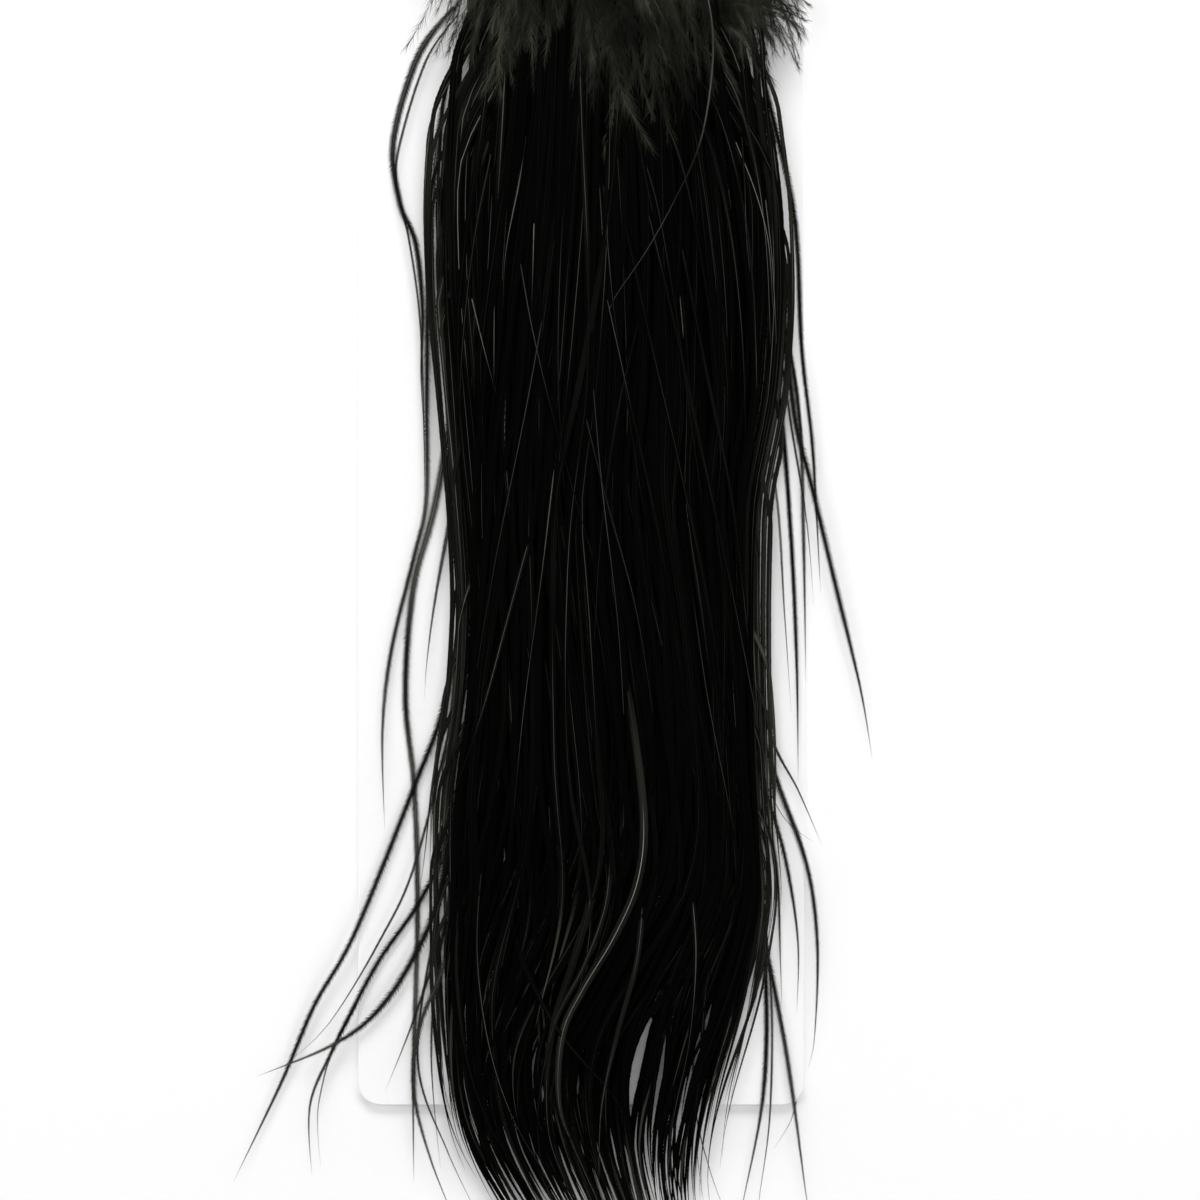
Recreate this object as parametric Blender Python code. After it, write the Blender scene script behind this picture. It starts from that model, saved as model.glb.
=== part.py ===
"""Black rooster saddle hackle lying on its white backing card.

The part's frame: the origin is the middle of the card's back face, +X is the photo's right,
+Y runs up the card towards the skin, and +Z points away from the card. Lengths in the
constants are millimetres, and MM turns them into Blender's metres.
"""
import math

import bpy
import bmesh

MM = 0.001

# Backing card
CARD_WIDTH = 100.0
CARD_LENGTH = 300.0
CARD_THICKNESS = 1.5
CARD_CORNER_RADIUS = 5.0
CARD_EDGE_BEVEL = 0.25
CORNER_STEPS = 5
LEVEL_TOLERANCE = 0.0001
SHARP_ANGLE = 50.0

# Cured skin that the feathers grow from, lying on the upper part of the card
SKIN_CENTRE = (5.0, 97.0)
SKIN_HALF_WIDTH = 31.0
SKIN_HALF_LENGTH = 40.0
SKIN_BOTTOM = 1.8
SKIN_TOP = 3.0
SKIN_OUTLINE_POINTS = 28
SKIN_SQUARENESS = 3.2
SKIN_RAGGEDNESS = 0.03
SKIN_WAVES = 5.0
SKIN_WAVE_START = 0.6

# Clearance between neighbours, and the height at which roots sit on the skin
GAP = 0.35
ROOT_HEIGHT = SKIN_TOP + GAP

# Outline of the feather mass: height up the card, left edge, right edge
MASS_OUTLINE = (
    (140.0, -24.0, 35.0),
    (97.0, -31.0, 41.0),
    (75.0, -32.5, 42.5),
    (52.0, -34.0, 45.5),
    (30.0, -33.5, 46.0),
    (8.0, -31.5, 44.5),
    (-14.0, -29.5, 39.5),
    (-37.0, -28.0, 39.0),
    (-59.0, -29.0, 39.0),
    (-81.0, -32.0, 39.5),
    (-104.0, -32.0, 41.0),
    (-126.0, -31.5, 36.5),
    (-148.0, -29.5, 29.5),
    (-160.0, -26.0, 27.0),
    (-171.0, -19.5, 26.0),
    (-190.0, -6.0, 29.0),
)

# Sideways swing of the middle feathers, as a share of the mass's width
SWING = (
    (140.0, 0.0),
    (-14.0, 0.0),
    (-59.0, 0.087),
    (-83.0, 0.14),
    (-98.0, 0.12),
    (-111.0, 0.05),
    (-123.0, -0.04),
    (-134.0, -0.10),
    (-148.0, -0.09),
    (-160.0, -0.07),
    (-171.0, -0.03),
    (-190.0, 0.0),
)

# The feathers part low down, so that the card shows between them
PARTING_AT = 0.76
PARTING_HALF_WIDTH = (
    (140.0, 0.0),
    (-116.0, 0.0),
    (-128.0, 1.6),
    (-138.0, 2.6),
    (-150.0, 1.8),
    (-190.0, 1.8),
)
PARTING_REACH = 0.12

# Height of one layer of feathers, which thins out towards the tips
LAYER_PITCH = (
    (140.0, 1.9),
    (0.0, 1.9),
    (-100.0, 1.65),
    (-150.0, 1.25),
    (-190.0, 1.0),
)
LAYER_BASE = 4.25
DOME_EDGE = 0.7

# Hackle locks in shingled layers, lowest first: the skin end, the tips' reach, the lanes left
# and right of the parting, and how far the lanes fan out from the skin
LAYERS = (
    {"root": 66.0, "tip": -188.0, "lanes": (5, 2), "spread": 0.84, "slant": 0.00},
    {"root": 82.0, "tip": -182.0, "lanes": (4, 3), "spread": 0.76, "slant": 0.03},
    {"root": 98.0, "tip": -172.0, "lanes": (5, 2), "spread": 0.70, "slant": -0.04},
    {"root": 114.0, "tip": -160.0, "lanes": (4, 2), "spread": 0.60, "slant": 0.05},
)
FAN_START = 100.0
FAN_END = -60.0
LANE_GAP = 0.8
EDGE_SHORTENING = 30.0
TIP_STAGGER = 4.5
STAGGER_STEPS = 4
ROW_HEIGHTS = (60.0, 30.0, 0.0, -30.0, -55.0, -80.0, -100.0, -120.0,
               -134.0, -146.0, -156.0, -165.0, -174.0)
ROOT_RISE = 14.0
TIP_LENGTH = 24.0
TIP_WIDTH_SHARE = 0.45
TIP_THICKNESS_SHARE = 0.55
FORK_DEPTH = 9.0
ROW_CLEARANCE = 4.0
LOCK_UNDERSIDE_SHARE = 0.4
LOCK_COLUMNS = (0.0, 0.28, 0.5, 0.72, 1.0)
LOCK_FULLNESS = (0.0, 1.0, 0.62, 1.0, 0.0)

# Downy tufts that cover the skin, in rows above the locks. Each row has its skin end and its
# tips' height, its left and right edges at both ends, and its number of tufts
DOWN_ROWS = (
    {"root": 126.0, "tip": 58.0, "start": (-24.0, 34.0), "end": (-35.5, 46.0), "tufts": 5},
    {"root": 135.0, "tip": 75.0, "start": (-20.0, 31.0), "end": (-33.0, 53.5), "tufts": 4},
)
DOWN_BASE = 12.3
DOWN_ROOT_FULLNESS = 0.06
DOWN_FULL_SPAN = 0.9
DOWN_TOP_SHARE = 0.7
DOWN_UNDERSIDE_SHARE = 0.15
DOWN_THICKNESS = 2.6
DOWN_ROW_PITCH = 3.0
DOWN_RISE_SHARE = 0.34
DOWN_TIP_STAGGER = 3.5
DOWN_STATIONS = 7
DOWN_COLUMNS = (0.0, 0.18, 0.34, 0.5, 0.66, 0.82, 1.0)
DOWN_FULLNESS = (0.0, 0.8, 0.7, 1.0, 0.7, 0.8, 0.0)
DOWN_TIP_SHARE = (0.80, 0.93, 0.84, 1.0, 0.85, 0.92, 0.79)

# Stray feathers: three levels just above the card, below the locks
STRAY_LEVELS = (1.9, 2.65, 3.4)
STRAY_THICKNESS = 0.42
STRAY_STATIONS = 12
STRAY_COLUMNS = (0.0, 0.5, 1.0)
STRAY_FULLNESS = (0.0, 1.0, 0.0)
STRAY_ROOT_WIDTH_SHARE = 0.3
STRAY_ROOT_GROWTH = 4.0
STRAY_TIP_WIDTH_SHARE = 0.04
STRAY_TIP_GROWTH = 5.0
STRAY_END_THICKNESS_SHARE = 0.4
TURN_STEP = 0.01

# Each stray: level, width, and its line (across, up) from the skin to the tip
LEFT_STRAYS = (
    (0, 1.7, ((-28.5, 96.0), (-36.5, 85.0), (-42.0, 66.0), (-40.5, 52.0), (-37.0, 43.0),
              (-35.5, 28.0), (-35.8, 14.0), (-35.3, 2.5))),
    (1, 1.7, ((-28.5, 84.0), (-31.5, 70.0), (-34.0, 41.0), (-34.5, 8.0), (-34.6, -14.5),
              (-37.3, -27.0), (-42.4, -48.0), (-44.4, -66.0), (-43.9, -88.0))),
    (0, 1.8, ((-23.0, 56.5), (-27.0, 20.0), (-32.5, -14.5), (-37.5, -34.0), (-39.3, -58.0),
              (-37.3, -79.5), (-36.6, -107.0), (-37.5, -142.0), (-37.5, -167.4))),
    (1, 1.4, ((-20.5, 56.5), (-23.0, 20.0), (-28.5, -14.0), (-32.5, -36.0), (-34.4, -50.0),
              (-35.0, -58.5))),
    (1, 1.9, ((-17.0, 56.5), (-19.5, 10.0), (-24.5, -30.0), (-30.5, -60.0), (-37.3, -78.6),
              (-50.7, -111.6), (-59.6, -127.4), (-67.2, -145.0), (-77.9, -167.2))),
    (1, 1.9, ((-13.0, 56.5), (-15.5, 0.0), (-21.5, -50.0), (-28.0, -86.0), (-35.7, -103.6),
              (-45.8, -118.5), (-55.6, -137.5), (-60.7, -150.0), (-60.3, -165.4))),
    (2, 2.6, ((-19.0, 56.5), (-20.5, 0.0), (-24.5, -60.0), (-31.0, -100.0), (-37.3, -116.5),
              (-45.8, -129.0), (-56.0, -136.5), (-72.5, -143.5))),
    (1, 1.6, ((-8.5, 56.5), (-11.5, 0.0), (-18.5, -60.0), (-27.0, -100.0), (-32.8, -117.2),
              (-38.2, -132.8), (-43.7, -146.4))),
    (2, 1.8, ((-14.5, 56.5), (-16.0, 0.0), (-20.5, -60.0), (-29.0, -112.0), (-36.0, -132.0),
              (-37.3, -146.4), (-33.7, -161.8), (-28.1, -176.3))),
)
RIGHT_STRAYS = (
    (0, 1.5, ((38.8, 88.0), (42.0, 74.8), (47.7, 49.0), (49.3, 20.0), (51.6, -1.0),
              (52.5, -14.5), (53.6, -35.0))),
    (1, 1.9, ((36.5, 56.5), (43.0, 34.0), (46.2, 15.0), (48.0, 2.0), (51.5, -11.5),
              (57.0, -34.0), (62.5, -56.5), (65.2, -72.3))),
    (0, 1.3, ((34.0, 56.5), (41.5, 40.0), (46.2, 22.0), (49.0, 3.0), (49.8, -22.0),
              (50.3, -55.1))),
    (0, 1.4, ((30.5, 56.5), (39.0, 36.0), (44.2, 10.0), (46.8, -20.0), (48.2, -50.0),
              (48.6, -77.5))),
    (1, 1.7, ((30.0, 56.5), (33.0, 0.0), (36.5, -40.0), (42.0, -66.0), (48.6, -79.5),
              (53.8, -91.5))),
    (0, 1.7, ((27.0, 56.5), (31.0, 0.0), (36.0, -50.0), (43.5, -76.0), (50.5, -96.0),
              (52.9, -114.0), (52.3, -134.0), (50.9, -141.5))),
    (2, 1.6, ((27.0, 56.5), (30.0, 0.0), (35.0, -50.0), (41.0, -78.0), (45.5, -94.0),
              (48.4, -112.5), (48.2, -129.0))),
    (0, 1.5, ((22.5, 56.5), (27.0, 0.0), (32.5, -50.0), (38.5, -78.0), (43.5, -95.0),
              (44.6, -117.6), (44.9, -127.5))),
    (1, 1.8, ((24.0, 56.5), (27.0, 0.0), (32.5, -60.0), (38.5, -100.0), (43.5, -125.0),
              (46.6, -142.4), (50.4, -170.0), (51.6, -176.3))),
    (0, 1.7, ((18.0, 56.5), (22.5, 0.0), (29.5, -60.0), (39.0, -100.0), (41.4, -123.4),
              (40.8, -147.3), (36.6, -170.3), (35.0, -176.3))),
)

# Colours and roughness of the plain CAD materials
WHITE_CARD = ((0.86, 0.86, 0.85), 0.6)
CURED_SKIN = ((0.05, 0.035, 0.025), 0.6)
BLACK_HACKLE = ((0.006, 0.007, 0.006), 0.42)
BLACK_DOWN = ((0.012, 0.012, 0.010), 0.75)

# One thin feather lies across the top: across, up, and height above the card's back
TOP_STRAY_WIDTH = 1.0
TOP_STRAY = (
    (26.0, 103.0, 17.9), (28.8, 89.5, 17.8), (28.6, 77.0, 17.1), (26.0, 63.0, 15.0),
    (20.0, 50.0, 12.9), (14.0, 39.5, 12.2), (8.0, 30.8, 12.1), (6.2, 27.0, 12.1),
)


def clear_scene():
    for item in list(bpy.data.objects):
        bpy.data.objects.remove(item, do_unlink=True)


def plain_material(name, colour, roughness):
    material = bpy.data.materials.new(name)
    material.use_nodes = True
    shader = material.node_tree.nodes["Principled BSDF"]
    shader.inputs["Base Color"].default_value = (*colour, 1.0)
    shader.inputs["Roughness"].default_value = roughness
    shader.inputs["Metallic"].default_value = 0.0
    return material


def smooth_step(share):
    share = min(max(share, 0.0), 1.0)
    return share * share * (3.0 - 2.0 * share)


def read_along(rows, height, column=1):
    """Value of a table at a height up the card, eased between its rows."""
    if height >= rows[0][0]:
        return rows[0][column]
    for above, below in zip(rows, rows[1:]):
        if height >= below[0]:
            share = (above[0] - height) / (above[0] - below[0])
            return above[column] + (below[column] - above[column]) * smooth_step(share)
    return rows[-1][column]


def curve_point(points, share):
    """Point on a smooth curve through the given points, share 0 at the first, 1 at the last."""
    spans = len(points) - 1
    place = min(max(share, 0.0), 1.0) * spans
    index = min(int(place), spans - 1)
    local = place - index
    before = points[max(index - 1, 0)]
    start = points[index]
    end = points[index + 1]
    after = points[min(index + 2, spans)]
    result = []
    for a, b, c, d in zip(before, start, end, after):
        slope_in = (c - a) / 2.0
        slope_out = (d - b) / 2.0
        square = local * local
        cube = square * local
        value = (2 * cube - 3 * square + 1) * b + (cube - 2 * square + local) * slope_in
        value += (3 * square - 2 * cube) * c + (cube - square) * slope_out
        result.append(value)
    return result


def add_object(name, mesh_data, material):
    """Finish a bmesh as one named object."""
    mesh = bpy.data.meshes.new(name)
    mesh_data.to_mesh(mesh)
    mesh_data.free()
    mesh.shade_smooth()
    mesh.set_sharp_from_angle(angle=math.radians(SHARP_ANGLE))
    mesh.materials.append(material)
    item = bpy.data.objects.new(name, mesh)
    bpy.context.collection.objects.link(item)
    return item


def add_slab(name, outline, bottom, top, edge_bevel, material):
    """Flat piece: an outline extruded upwards, with its top and bottom edges eased."""
    data = bmesh.new()
    corners = [data.verts.new((x * MM, y * MM, bottom * MM)) for x, y in outline]
    base = data.faces.new(corners)
    raised = bmesh.ops.extrude_face_region(data, geom=[base])
    lifted = [v for v in raised["geom"] if isinstance(v, bmesh.types.BMVert)]
    bmesh.ops.translate(data, verts=lifted, vec=(0.0, 0.0, (top - bottom) * MM))
    if edge_bevel:
        rims = [edge for edge in data.edges
                if abs(edge.verts[0].co.z - edge.verts[1].co.z) < LEVEL_TOLERANCE * MM]
        bmesh.ops.bevel(data, geom=rims, offset=edge_bevel * MM, segments=1, affect="EDGES")
    bmesh.ops.recalc_face_normals(data, faces=data.faces)
    return add_object(name, data, material)


def add_leaf(name, rows, material):
    """Closed leaf from rows of points: each row is (top points, bottom points).

    The two sheets share the outer columns, so the leaf's edges are thin and its middle is full,
    and a narrow face closes each end.
    """
    data = bmesh.new()
    last_column = len(rows[0][0]) - 1
    tops = []
    bottoms = []
    for top_points, bottom_points in rows:
        top_row = [data.verts.new([v * MM for v in point]) for point in top_points]
        bottom_row = list(top_row)
        for column in range(1, last_column):
            bottom_row[column] = data.verts.new([v * MM for v in bottom_points[column]])
        tops.append(top_row)
        bottoms.append(bottom_row)
    for sheet, order in ((tops, 1), (bottoms, -1)):
        for upper, lower in zip(sheet, sheet[1:]):
            for column in range(last_column):
                near = (upper[column], lower[column], lower[column + 1])
                far = (upper[column], lower[column + 1], upper[column + 1])
                data.faces.new(near[::order])
                data.faces.new(far[::order])
    data.faces.new(tops[0] + bottoms[0][-2:0:-1])
    data.faces.new(bottoms[-1] + tops[-1][-2:0:-1])
    bmesh.ops.triangulate(data, faces=[face for face in data.faces if len(face.verts) > 3])
    return add_object(name, data, material)


def card_outline():
    half_width = CARD_WIDTH / 2.0
    half_length = CARD_LENGTH / 2.0
    corners = ((1, 1, 0), (-1, 1, 90), (-1, -1, 180), (1, -1, 270))
    points = []
    for side_x, side_y, start in corners:
        centre_x = side_x * (half_width - CARD_CORNER_RADIUS)
        centre_y = side_y * (half_length - CARD_CORNER_RADIUS)
        for step in range(CORNER_STEPS + 1):
            angle = math.radians(start + 90.0 * step / CORNER_STEPS)
            x = centre_x + CARD_CORNER_RADIUS * math.cos(angle)
            y = centre_y + CARD_CORNER_RADIUS * math.sin(angle)
            points.append((x, y))
    return points


def make_card():
    material = plain_material("white_card", *WHITE_CARD)
    add_slab("backing_card", card_outline(), 0.0, CARD_THICKNESS, CARD_EDGE_BEVEL, material)


def skin_outline():
    points = []
    for index in range(SKIN_OUTLINE_POINTS):
        angle = 2.0 * math.pi * index / SKIN_OUTLINE_POINTS
        cosine = math.cos(angle)
        sine = math.sin(angle)
        power = 1.0 / SKIN_SQUARENESS
        sum_of_powers = abs(cosine) ** SKIN_SQUARENESS + abs(sine) ** SKIN_SQUARENESS
        reach = sum_of_powers ** -power
        reach *= 1.0 + SKIN_RAGGEDNESS * math.sin(SKIN_WAVES * angle + SKIN_WAVE_START)
        x = SKIN_CENTRE[0] + SKIN_HALF_WIDTH * reach * cosine
        y = SKIN_CENTRE[1] + SKIN_HALF_LENGTH * reach * sine
        points.append((x, y))
    return points


def make_skin():
    material = plain_material("cured_skin", *CURED_SKIN)
    add_slab("skin_patch", skin_outline(), SKIN_BOTTOM, SKIN_TOP, 0.0, material)


def mass_across(lane, height, layer):
    """Share of the mass's width at which a lane lies, at a height up the card."""
    fan = smooth_step((FAN_START - height) / (FAN_START - FAN_END))
    spread = layer["spread"] + (1.0 - layer["spread"]) * fan
    lane = 0.5 + layer["slant"] * (1.0 - fan) + (lane - 0.5) * spread
    return lane + 4.0 * read_along(SWING, height) * lane * (1.0 - lane)


def lane_x(lane, height, layer, side):
    """Place across the card of a lane, 0 at the mass's left edge and 1 at its right.

    Side is -1 for locks left of the parting and 1 for those right of it.
    """
    across = mass_across(lane, height, layer)
    left = read_along(MASS_OUTLINE, height, 1)
    right = read_along(MASS_OUTLINE, height, 2)
    x = left + (right - left) * across
    fade = math.exp(-abs(lane - PARTING_AT) / PARTING_REACH)
    return x + side * fade * read_along(PARTING_HALF_WIDTH, height)


def dome(across):
    """The mass is full in the middle and thinner along its sides."""
    return DOME_EDGE + (1.0 - DOME_EDGE) * (1.0 - (2.0 * across - 1.0) ** 2)


def lock_heights(layer_index, tip):
    """Heights up the card of a lock's rows: close over the root, even below it."""
    root = LAYERS[layer_index]["root"]
    rows = [root, root - ROOT_RISE / 2.0, root - ROOT_RISE]
    highest = rows[-1] - ROW_CLEARANCE
    rows += [height for height in ROW_HEIGHTS if highest > height > tip + FORK_DEPTH]
    rows.append(tip)
    return rows


def lock_point(layer_index, lanes, share, fullness, height, tip):
    """Top and bottom point of a lock at a share of its width, at a height up the card."""
    layer = LAYERS[layer_index]
    lane_start, lane_end = lanes
    side = 1.0 if lane_start >= PARTING_AT else -1.0
    left = lane_x(lane_start, height, layer, side) + LANE_GAP / 2.0
    right = lane_x(lane_end, height, layer, side) - LANE_GAP / 2.0
    to_tip = smooth_step((height - tip) / TIP_LENGTH)
    width_share = TIP_WIDTH_SHARE + (1.0 - TIP_WIDTH_SHARE) * to_tip
    x = (left + right) / 2.0 + (share - 0.5) * (right - left) * width_share
    lane = lane_start + (lane_end - lane_start) * share
    pitch = read_along(LAYER_PITCH, height) * dome(mass_across(lane, height, layer))
    floor = LAYER_BASE + layer_index * pitch
    rise = smooth_step((layer["root"] - height) / ROOT_RISE)
    body = (pitch - GAP) * (TIP_THICKNESS_SHARE + (1.0 - TIP_THICKNESS_SHARE) * to_tip)
    underside = body * LOCK_UNDERSIDE_SHARE
    middle = ROOT_HEIGHT + (floor - ROOT_HEIGHT) * rise + underside
    top = (x, height, middle + (body - underside) * fullness)
    bottom = (x, height, middle - underside * math.ceil(fullness))
    return top, bottom


def lock_row(layer_index, lanes, height, tip):
    """One row of a lock. At the tip its edges and valley end short, which leaves two points."""
    fork = FORK_DEPTH if height == tip else 0.0
    pairs = []
    for share, fullness in zip(LOCK_COLUMNS, LOCK_FULLNESS):
        own_height = height + fork * (1.0 - fullness)
        pairs.append(lock_point(layer_index, lanes, share, fullness, own_height, tip))
    tops = [top for top, bottom in pairs]
    bottoms = [bottom for top, bottom in pairs]
    return tops, bottoms


def make_locks(material):
    number = 0
    for layer_index, layer in enumerate(LAYERS):
        left_count, right_count = layer["lanes"]
        bounds = [PARTING_AT * step / left_count for step in range(left_count)]
        bounds += [PARTING_AT + (1.0 - PARTING_AT) * step / right_count
                   for step in range(right_count + 1)]
        for lane, lanes in enumerate(zip(bounds, bounds[1:])):
            number += 1
            off_centre = sum(lanes) - 1.0
            stagger = TIP_STAGGER * ((3 * lane + 5 * layer_index) % STAGGER_STEPS)
            tip = layer["tip"] + EDGE_SHORTENING * off_centre ** 2 + stagger
            rows = [lock_row(layer_index, lanes, height, tip)
                    for height in lock_heights(layer_index, tip)]
            add_leaf(f"hackle_lock_{number:02d}", rows, material)


def tuft_point(row_index, lane, share, reach, fullness, side):
    """A point of a downy tuft; side is 1 on its top sheet and -1 on its underside."""
    row = DOWN_ROWS[row_index]
    along = share * (1.0 - (1.0 - reach) * share ** 3)
    left = row["start"][0] + (row["end"][0] - row["start"][0]) * along
    right = row["start"][1] + (row["end"][1] - row["start"][1]) * along
    height = row["root"] + (row["tip"] - row["root"]) * along
    floor = DOWN_BASE + DOWN_ROW_PITCH * row_index
    rise = smooth_step(share / DOWN_RISE_SHARE)
    middle = ROOT_HEIGHT + (floor - ROOT_HEIGHT) * rise
    swell = math.sin(math.pi * (DOWN_ROOT_FULLNESS + DOWN_FULL_SPAN * share))
    body = DOWN_THICKNESS * fullness * swell
    lift = body * DOWN_TOP_SHARE if side > 0 else -body * DOWN_UNDERSIDE_SHARE
    return left + (right - left) * lane, height, middle + lift


def tuft_rows(row_index, number):
    """Rows of points of one tuft, which shares its row's width with its neighbours."""
    row = DOWN_ROWS[row_index]
    lane_width = 1.0 / row["tufts"]
    gap = LANE_GAP / (row["start"][1] - row["start"][0])
    longest = 1.0 - DOWN_TIP_STAGGER * ((2 * number + row_index) % 3) / (row["root"] - row["tip"])
    rows = []
    for station in range(DOWN_STATIONS):
        share = station / (DOWN_STATIONS - 1)
        sheets = []
        for side in (1, -1):
            points = []
            for column, fullness, reach in zip(DOWN_COLUMNS, DOWN_FULLNESS, DOWN_TIP_SHARE):
                lane = number * lane_width + gap / 2.0 + column * (lane_width - gap)
                points.append(tuft_point(row_index, lane, share, reach * longest, fullness, side))
            sheets.append(points)
        rows.append(sheets)
    return rows


def make_down(material):
    name_number = 0
    for row_index, row in enumerate(DOWN_ROWS):
        for number in range(row["tufts"]):
            name_number += 1
            add_leaf(f"down_tuft_{name_number:02d}", tuft_rows(row_index, number), material)


def add_stray(name, line, width, material):
    """Single feather: a slim leaf with its quill as the ridge, along a smooth line."""
    rows = []
    for station in range(STRAY_STATIONS):
        share = station / (STRAY_STATIONS - 1)
        x, y, z = curve_point(line, share)
        ahead = curve_point(line, share + TURN_STEP)
        behind = curve_point(line, share - TURN_STEP)
        run_x = ahead[0] - behind[0]
        run_y = ahead[1] - behind[1]
        run = math.hypot(run_x, run_y)
        from_root = min(1.0, STRAY_ROOT_WIDTH_SHARE + STRAY_ROOT_GROWTH * share)
        from_tip = min(1.0, STRAY_TIP_WIDTH_SHARE + STRAY_TIP_GROWTH * (1.0 - share))
        half = width / 2.0 * from_root * from_tip
        swell = STRAY_END_THICKNESS_SHARE
        swell += (1.0 - STRAY_END_THICKNESS_SHARE) * math.sin(math.pi * share)
        tops = []
        bottoms = []
        for column, fullness in zip(STRAY_COLUMNS, STRAY_FULLNESS):
            aside = (2.0 * column - 1.0) * half
            point_x = x - aside * run_y / run
            point_y = y + aside * run_x / run
            lift = STRAY_THICKNESS / 2.0 * fullness * swell
            tops.append((point_x, point_y, z + lift))
            bottoms.append((point_x, point_y, z - lift))
        rows.append((tops, bottoms))
    add_leaf(name, rows, material)


def make_strays(material):
    for side, strays in (("left", LEFT_STRAYS), ("right", RIGHT_STRAYS)):
        for number, (level, width, line) in enumerate(strays, start=1):
            height = STRAY_LEVELS[level] + STRAY_THICKNESS / 2.0
            raised = [(x, y, height) for x, y in line]
            add_stray(f"stray_feather_{side}_{number:02d}", raised, width, material)
    add_stray("stray_feather_top", TOP_STRAY, TOP_STRAY_WIDTH, material)


def main():
    clear_scene()
    make_card()
    make_skin()
    hackle = plain_material("black_hackle", *BLACK_HACKLE)
    down = plain_material("black_down", *BLACK_DOWN)
    make_locks(hackle)
    make_down(down)
    make_strays(hackle)


main()
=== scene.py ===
"""Black rooster saddle hackle on its white backing card: feathers, down, materials and studio.

Lengths in the constants are millimetres in the part's own frame, and MM turns them into metres.
The mass's outline, swing and layer heights, the skin and the strays' lines repeat the values
that the CAD solids are made from. The parting, the layers' reach and the down differ a little.
"""

import bpy
import numpy as np
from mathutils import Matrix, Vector


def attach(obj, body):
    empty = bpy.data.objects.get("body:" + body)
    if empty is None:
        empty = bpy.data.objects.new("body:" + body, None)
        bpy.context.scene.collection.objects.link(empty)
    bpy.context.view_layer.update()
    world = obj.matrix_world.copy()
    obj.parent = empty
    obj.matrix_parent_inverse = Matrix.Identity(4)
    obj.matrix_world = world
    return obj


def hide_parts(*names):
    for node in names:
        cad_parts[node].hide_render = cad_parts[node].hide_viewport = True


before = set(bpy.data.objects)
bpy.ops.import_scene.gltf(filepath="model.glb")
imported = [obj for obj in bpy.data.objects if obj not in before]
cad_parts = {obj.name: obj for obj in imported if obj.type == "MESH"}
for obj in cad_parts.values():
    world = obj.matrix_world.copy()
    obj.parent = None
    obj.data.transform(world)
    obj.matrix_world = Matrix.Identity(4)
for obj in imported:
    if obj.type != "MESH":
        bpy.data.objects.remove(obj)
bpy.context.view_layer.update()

MM = 0.001


def named(columns, *rows):
    """Rows of values, each read by the names of its columns."""
    return tuple(dict(zip(columns.split(), row)) for row in rows)


# Photograph's view: a pixel on the card, the frame's origin in the photo, the lens, the height at
# which the scale is true, and how far the camera sees in metres
PIXEL = 0.2232
ORIGIN_U = 581.0
ORIGIN_V = 435.0
PHOTO_SIDE = 1200.0
LENS = 100.0
SENSOR = 36.0
FOCUS_HEIGHT = 4.0
CAMERA_REACH = 20.0

# Outline of the feather mass: height up the card, left edge, right edge
MASS_OUTLINE = (
    (140, -24, 35), (97, -31, 41), (75, -32.5, 42.5), (52, -34, 45.5), (30, -33.5, 46), (8, -31.5, 44.5),
    (-14, -29.5, 39.5), (-37, -28, 39), (-59, -29, 39), (-81, -32, 39.5), (-104, -32, 41),
    (-126, -31.5, 36.5), (-148, -29.5, 29.5), (-160, -26, 27), (-171, -19.5, 26), (-190, -6, 29),
)

# Sideways swing of the middle feathers, as a share of the mass's width
SWING = (
    (140, 0), (-14, 0), (-59, 0.087), (-83, 0.14), (-98, 0.12), (-111, 0.05), (-123, -0.04), (-134, -0.1),
    (-148, -0.09), (-160, -0.07), (-171, -0.03), (-190, 0),
)

# The feathers part low down, so that the card shows between them
PARTING_AT = 0.76
PARTING_HALF_WIDTH = (
    (140, 0), (-120, 0), (-130, 1.3), (-140, 2.5), (-149, 1.5), (-156, 0.2), (-190, 0.5),
)
PARTING_REACH = 0.12

# Height of one layer of feathers, which thins out towards the tips
LAYER_PITCH = ((140, 1.9), (0, 1.9), (-100, 1.65), (-150, 1.25), (-190, 1))
LAYER_BASE = 4.25
DOME_EDGE = 0.7
ROOT_HEIGHT = 3.35
ROOT_RISE = 14.0
FAN_START = 100.0
FAN_END = -60.0

# Shingled layers of hackle, lowest first: skin end, tips' reach, how far the lanes fan out and lean,
# CAD locks, feathers, their barb spacing and how they wander
LAYERS = named(
    "root tip spread slant locks feathers barb wander",
    (66, -190, 0.84, 0, (1, 7), 84, 3, 0.02),
    (82, -189, 0.76, 0.03, (8, 14), 80, 2.6, 0.05),
    (98, -188, 0.7, -0.04, (15, 21), 76, 2, 0.11),
    (114, -186, 0.6, 0.05, (22, 27), 74, 1.6, 0.16),
)
LAYER_SEED = 100
LAYER_PLACES = 90
LANE_START = 0.05
LANE_SPAN = 0.91
LANE_LIMITS = (0.015, 0.985)
EDGE_LANES = 0.12
EDGE_LANE_BARB = 1.6
EDGE_SHORTENING = 6.0
TIP_SCATTER = 58.0
TIP_SCATTER_POWER = 1.7
MASS_TONE = 0.85
MASS_TONE_POWER = 0.8

# Low down the feathers gather in uneven clumps and keep off the parting
CLUMPS = 12
CLUMP_SEED = 77
CLUMP_WIDTHS = (0.5, 1.6)
CLUMP_JITTER = 0.012
CLUMP_PULL = 0.84
CLUMP_CALM = 0.8
CLUMP_START = -100.0
CLUMP_RUN = 66.0
PARTING_RUN = 30.0
PARTING_GAP = 0.005

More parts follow.
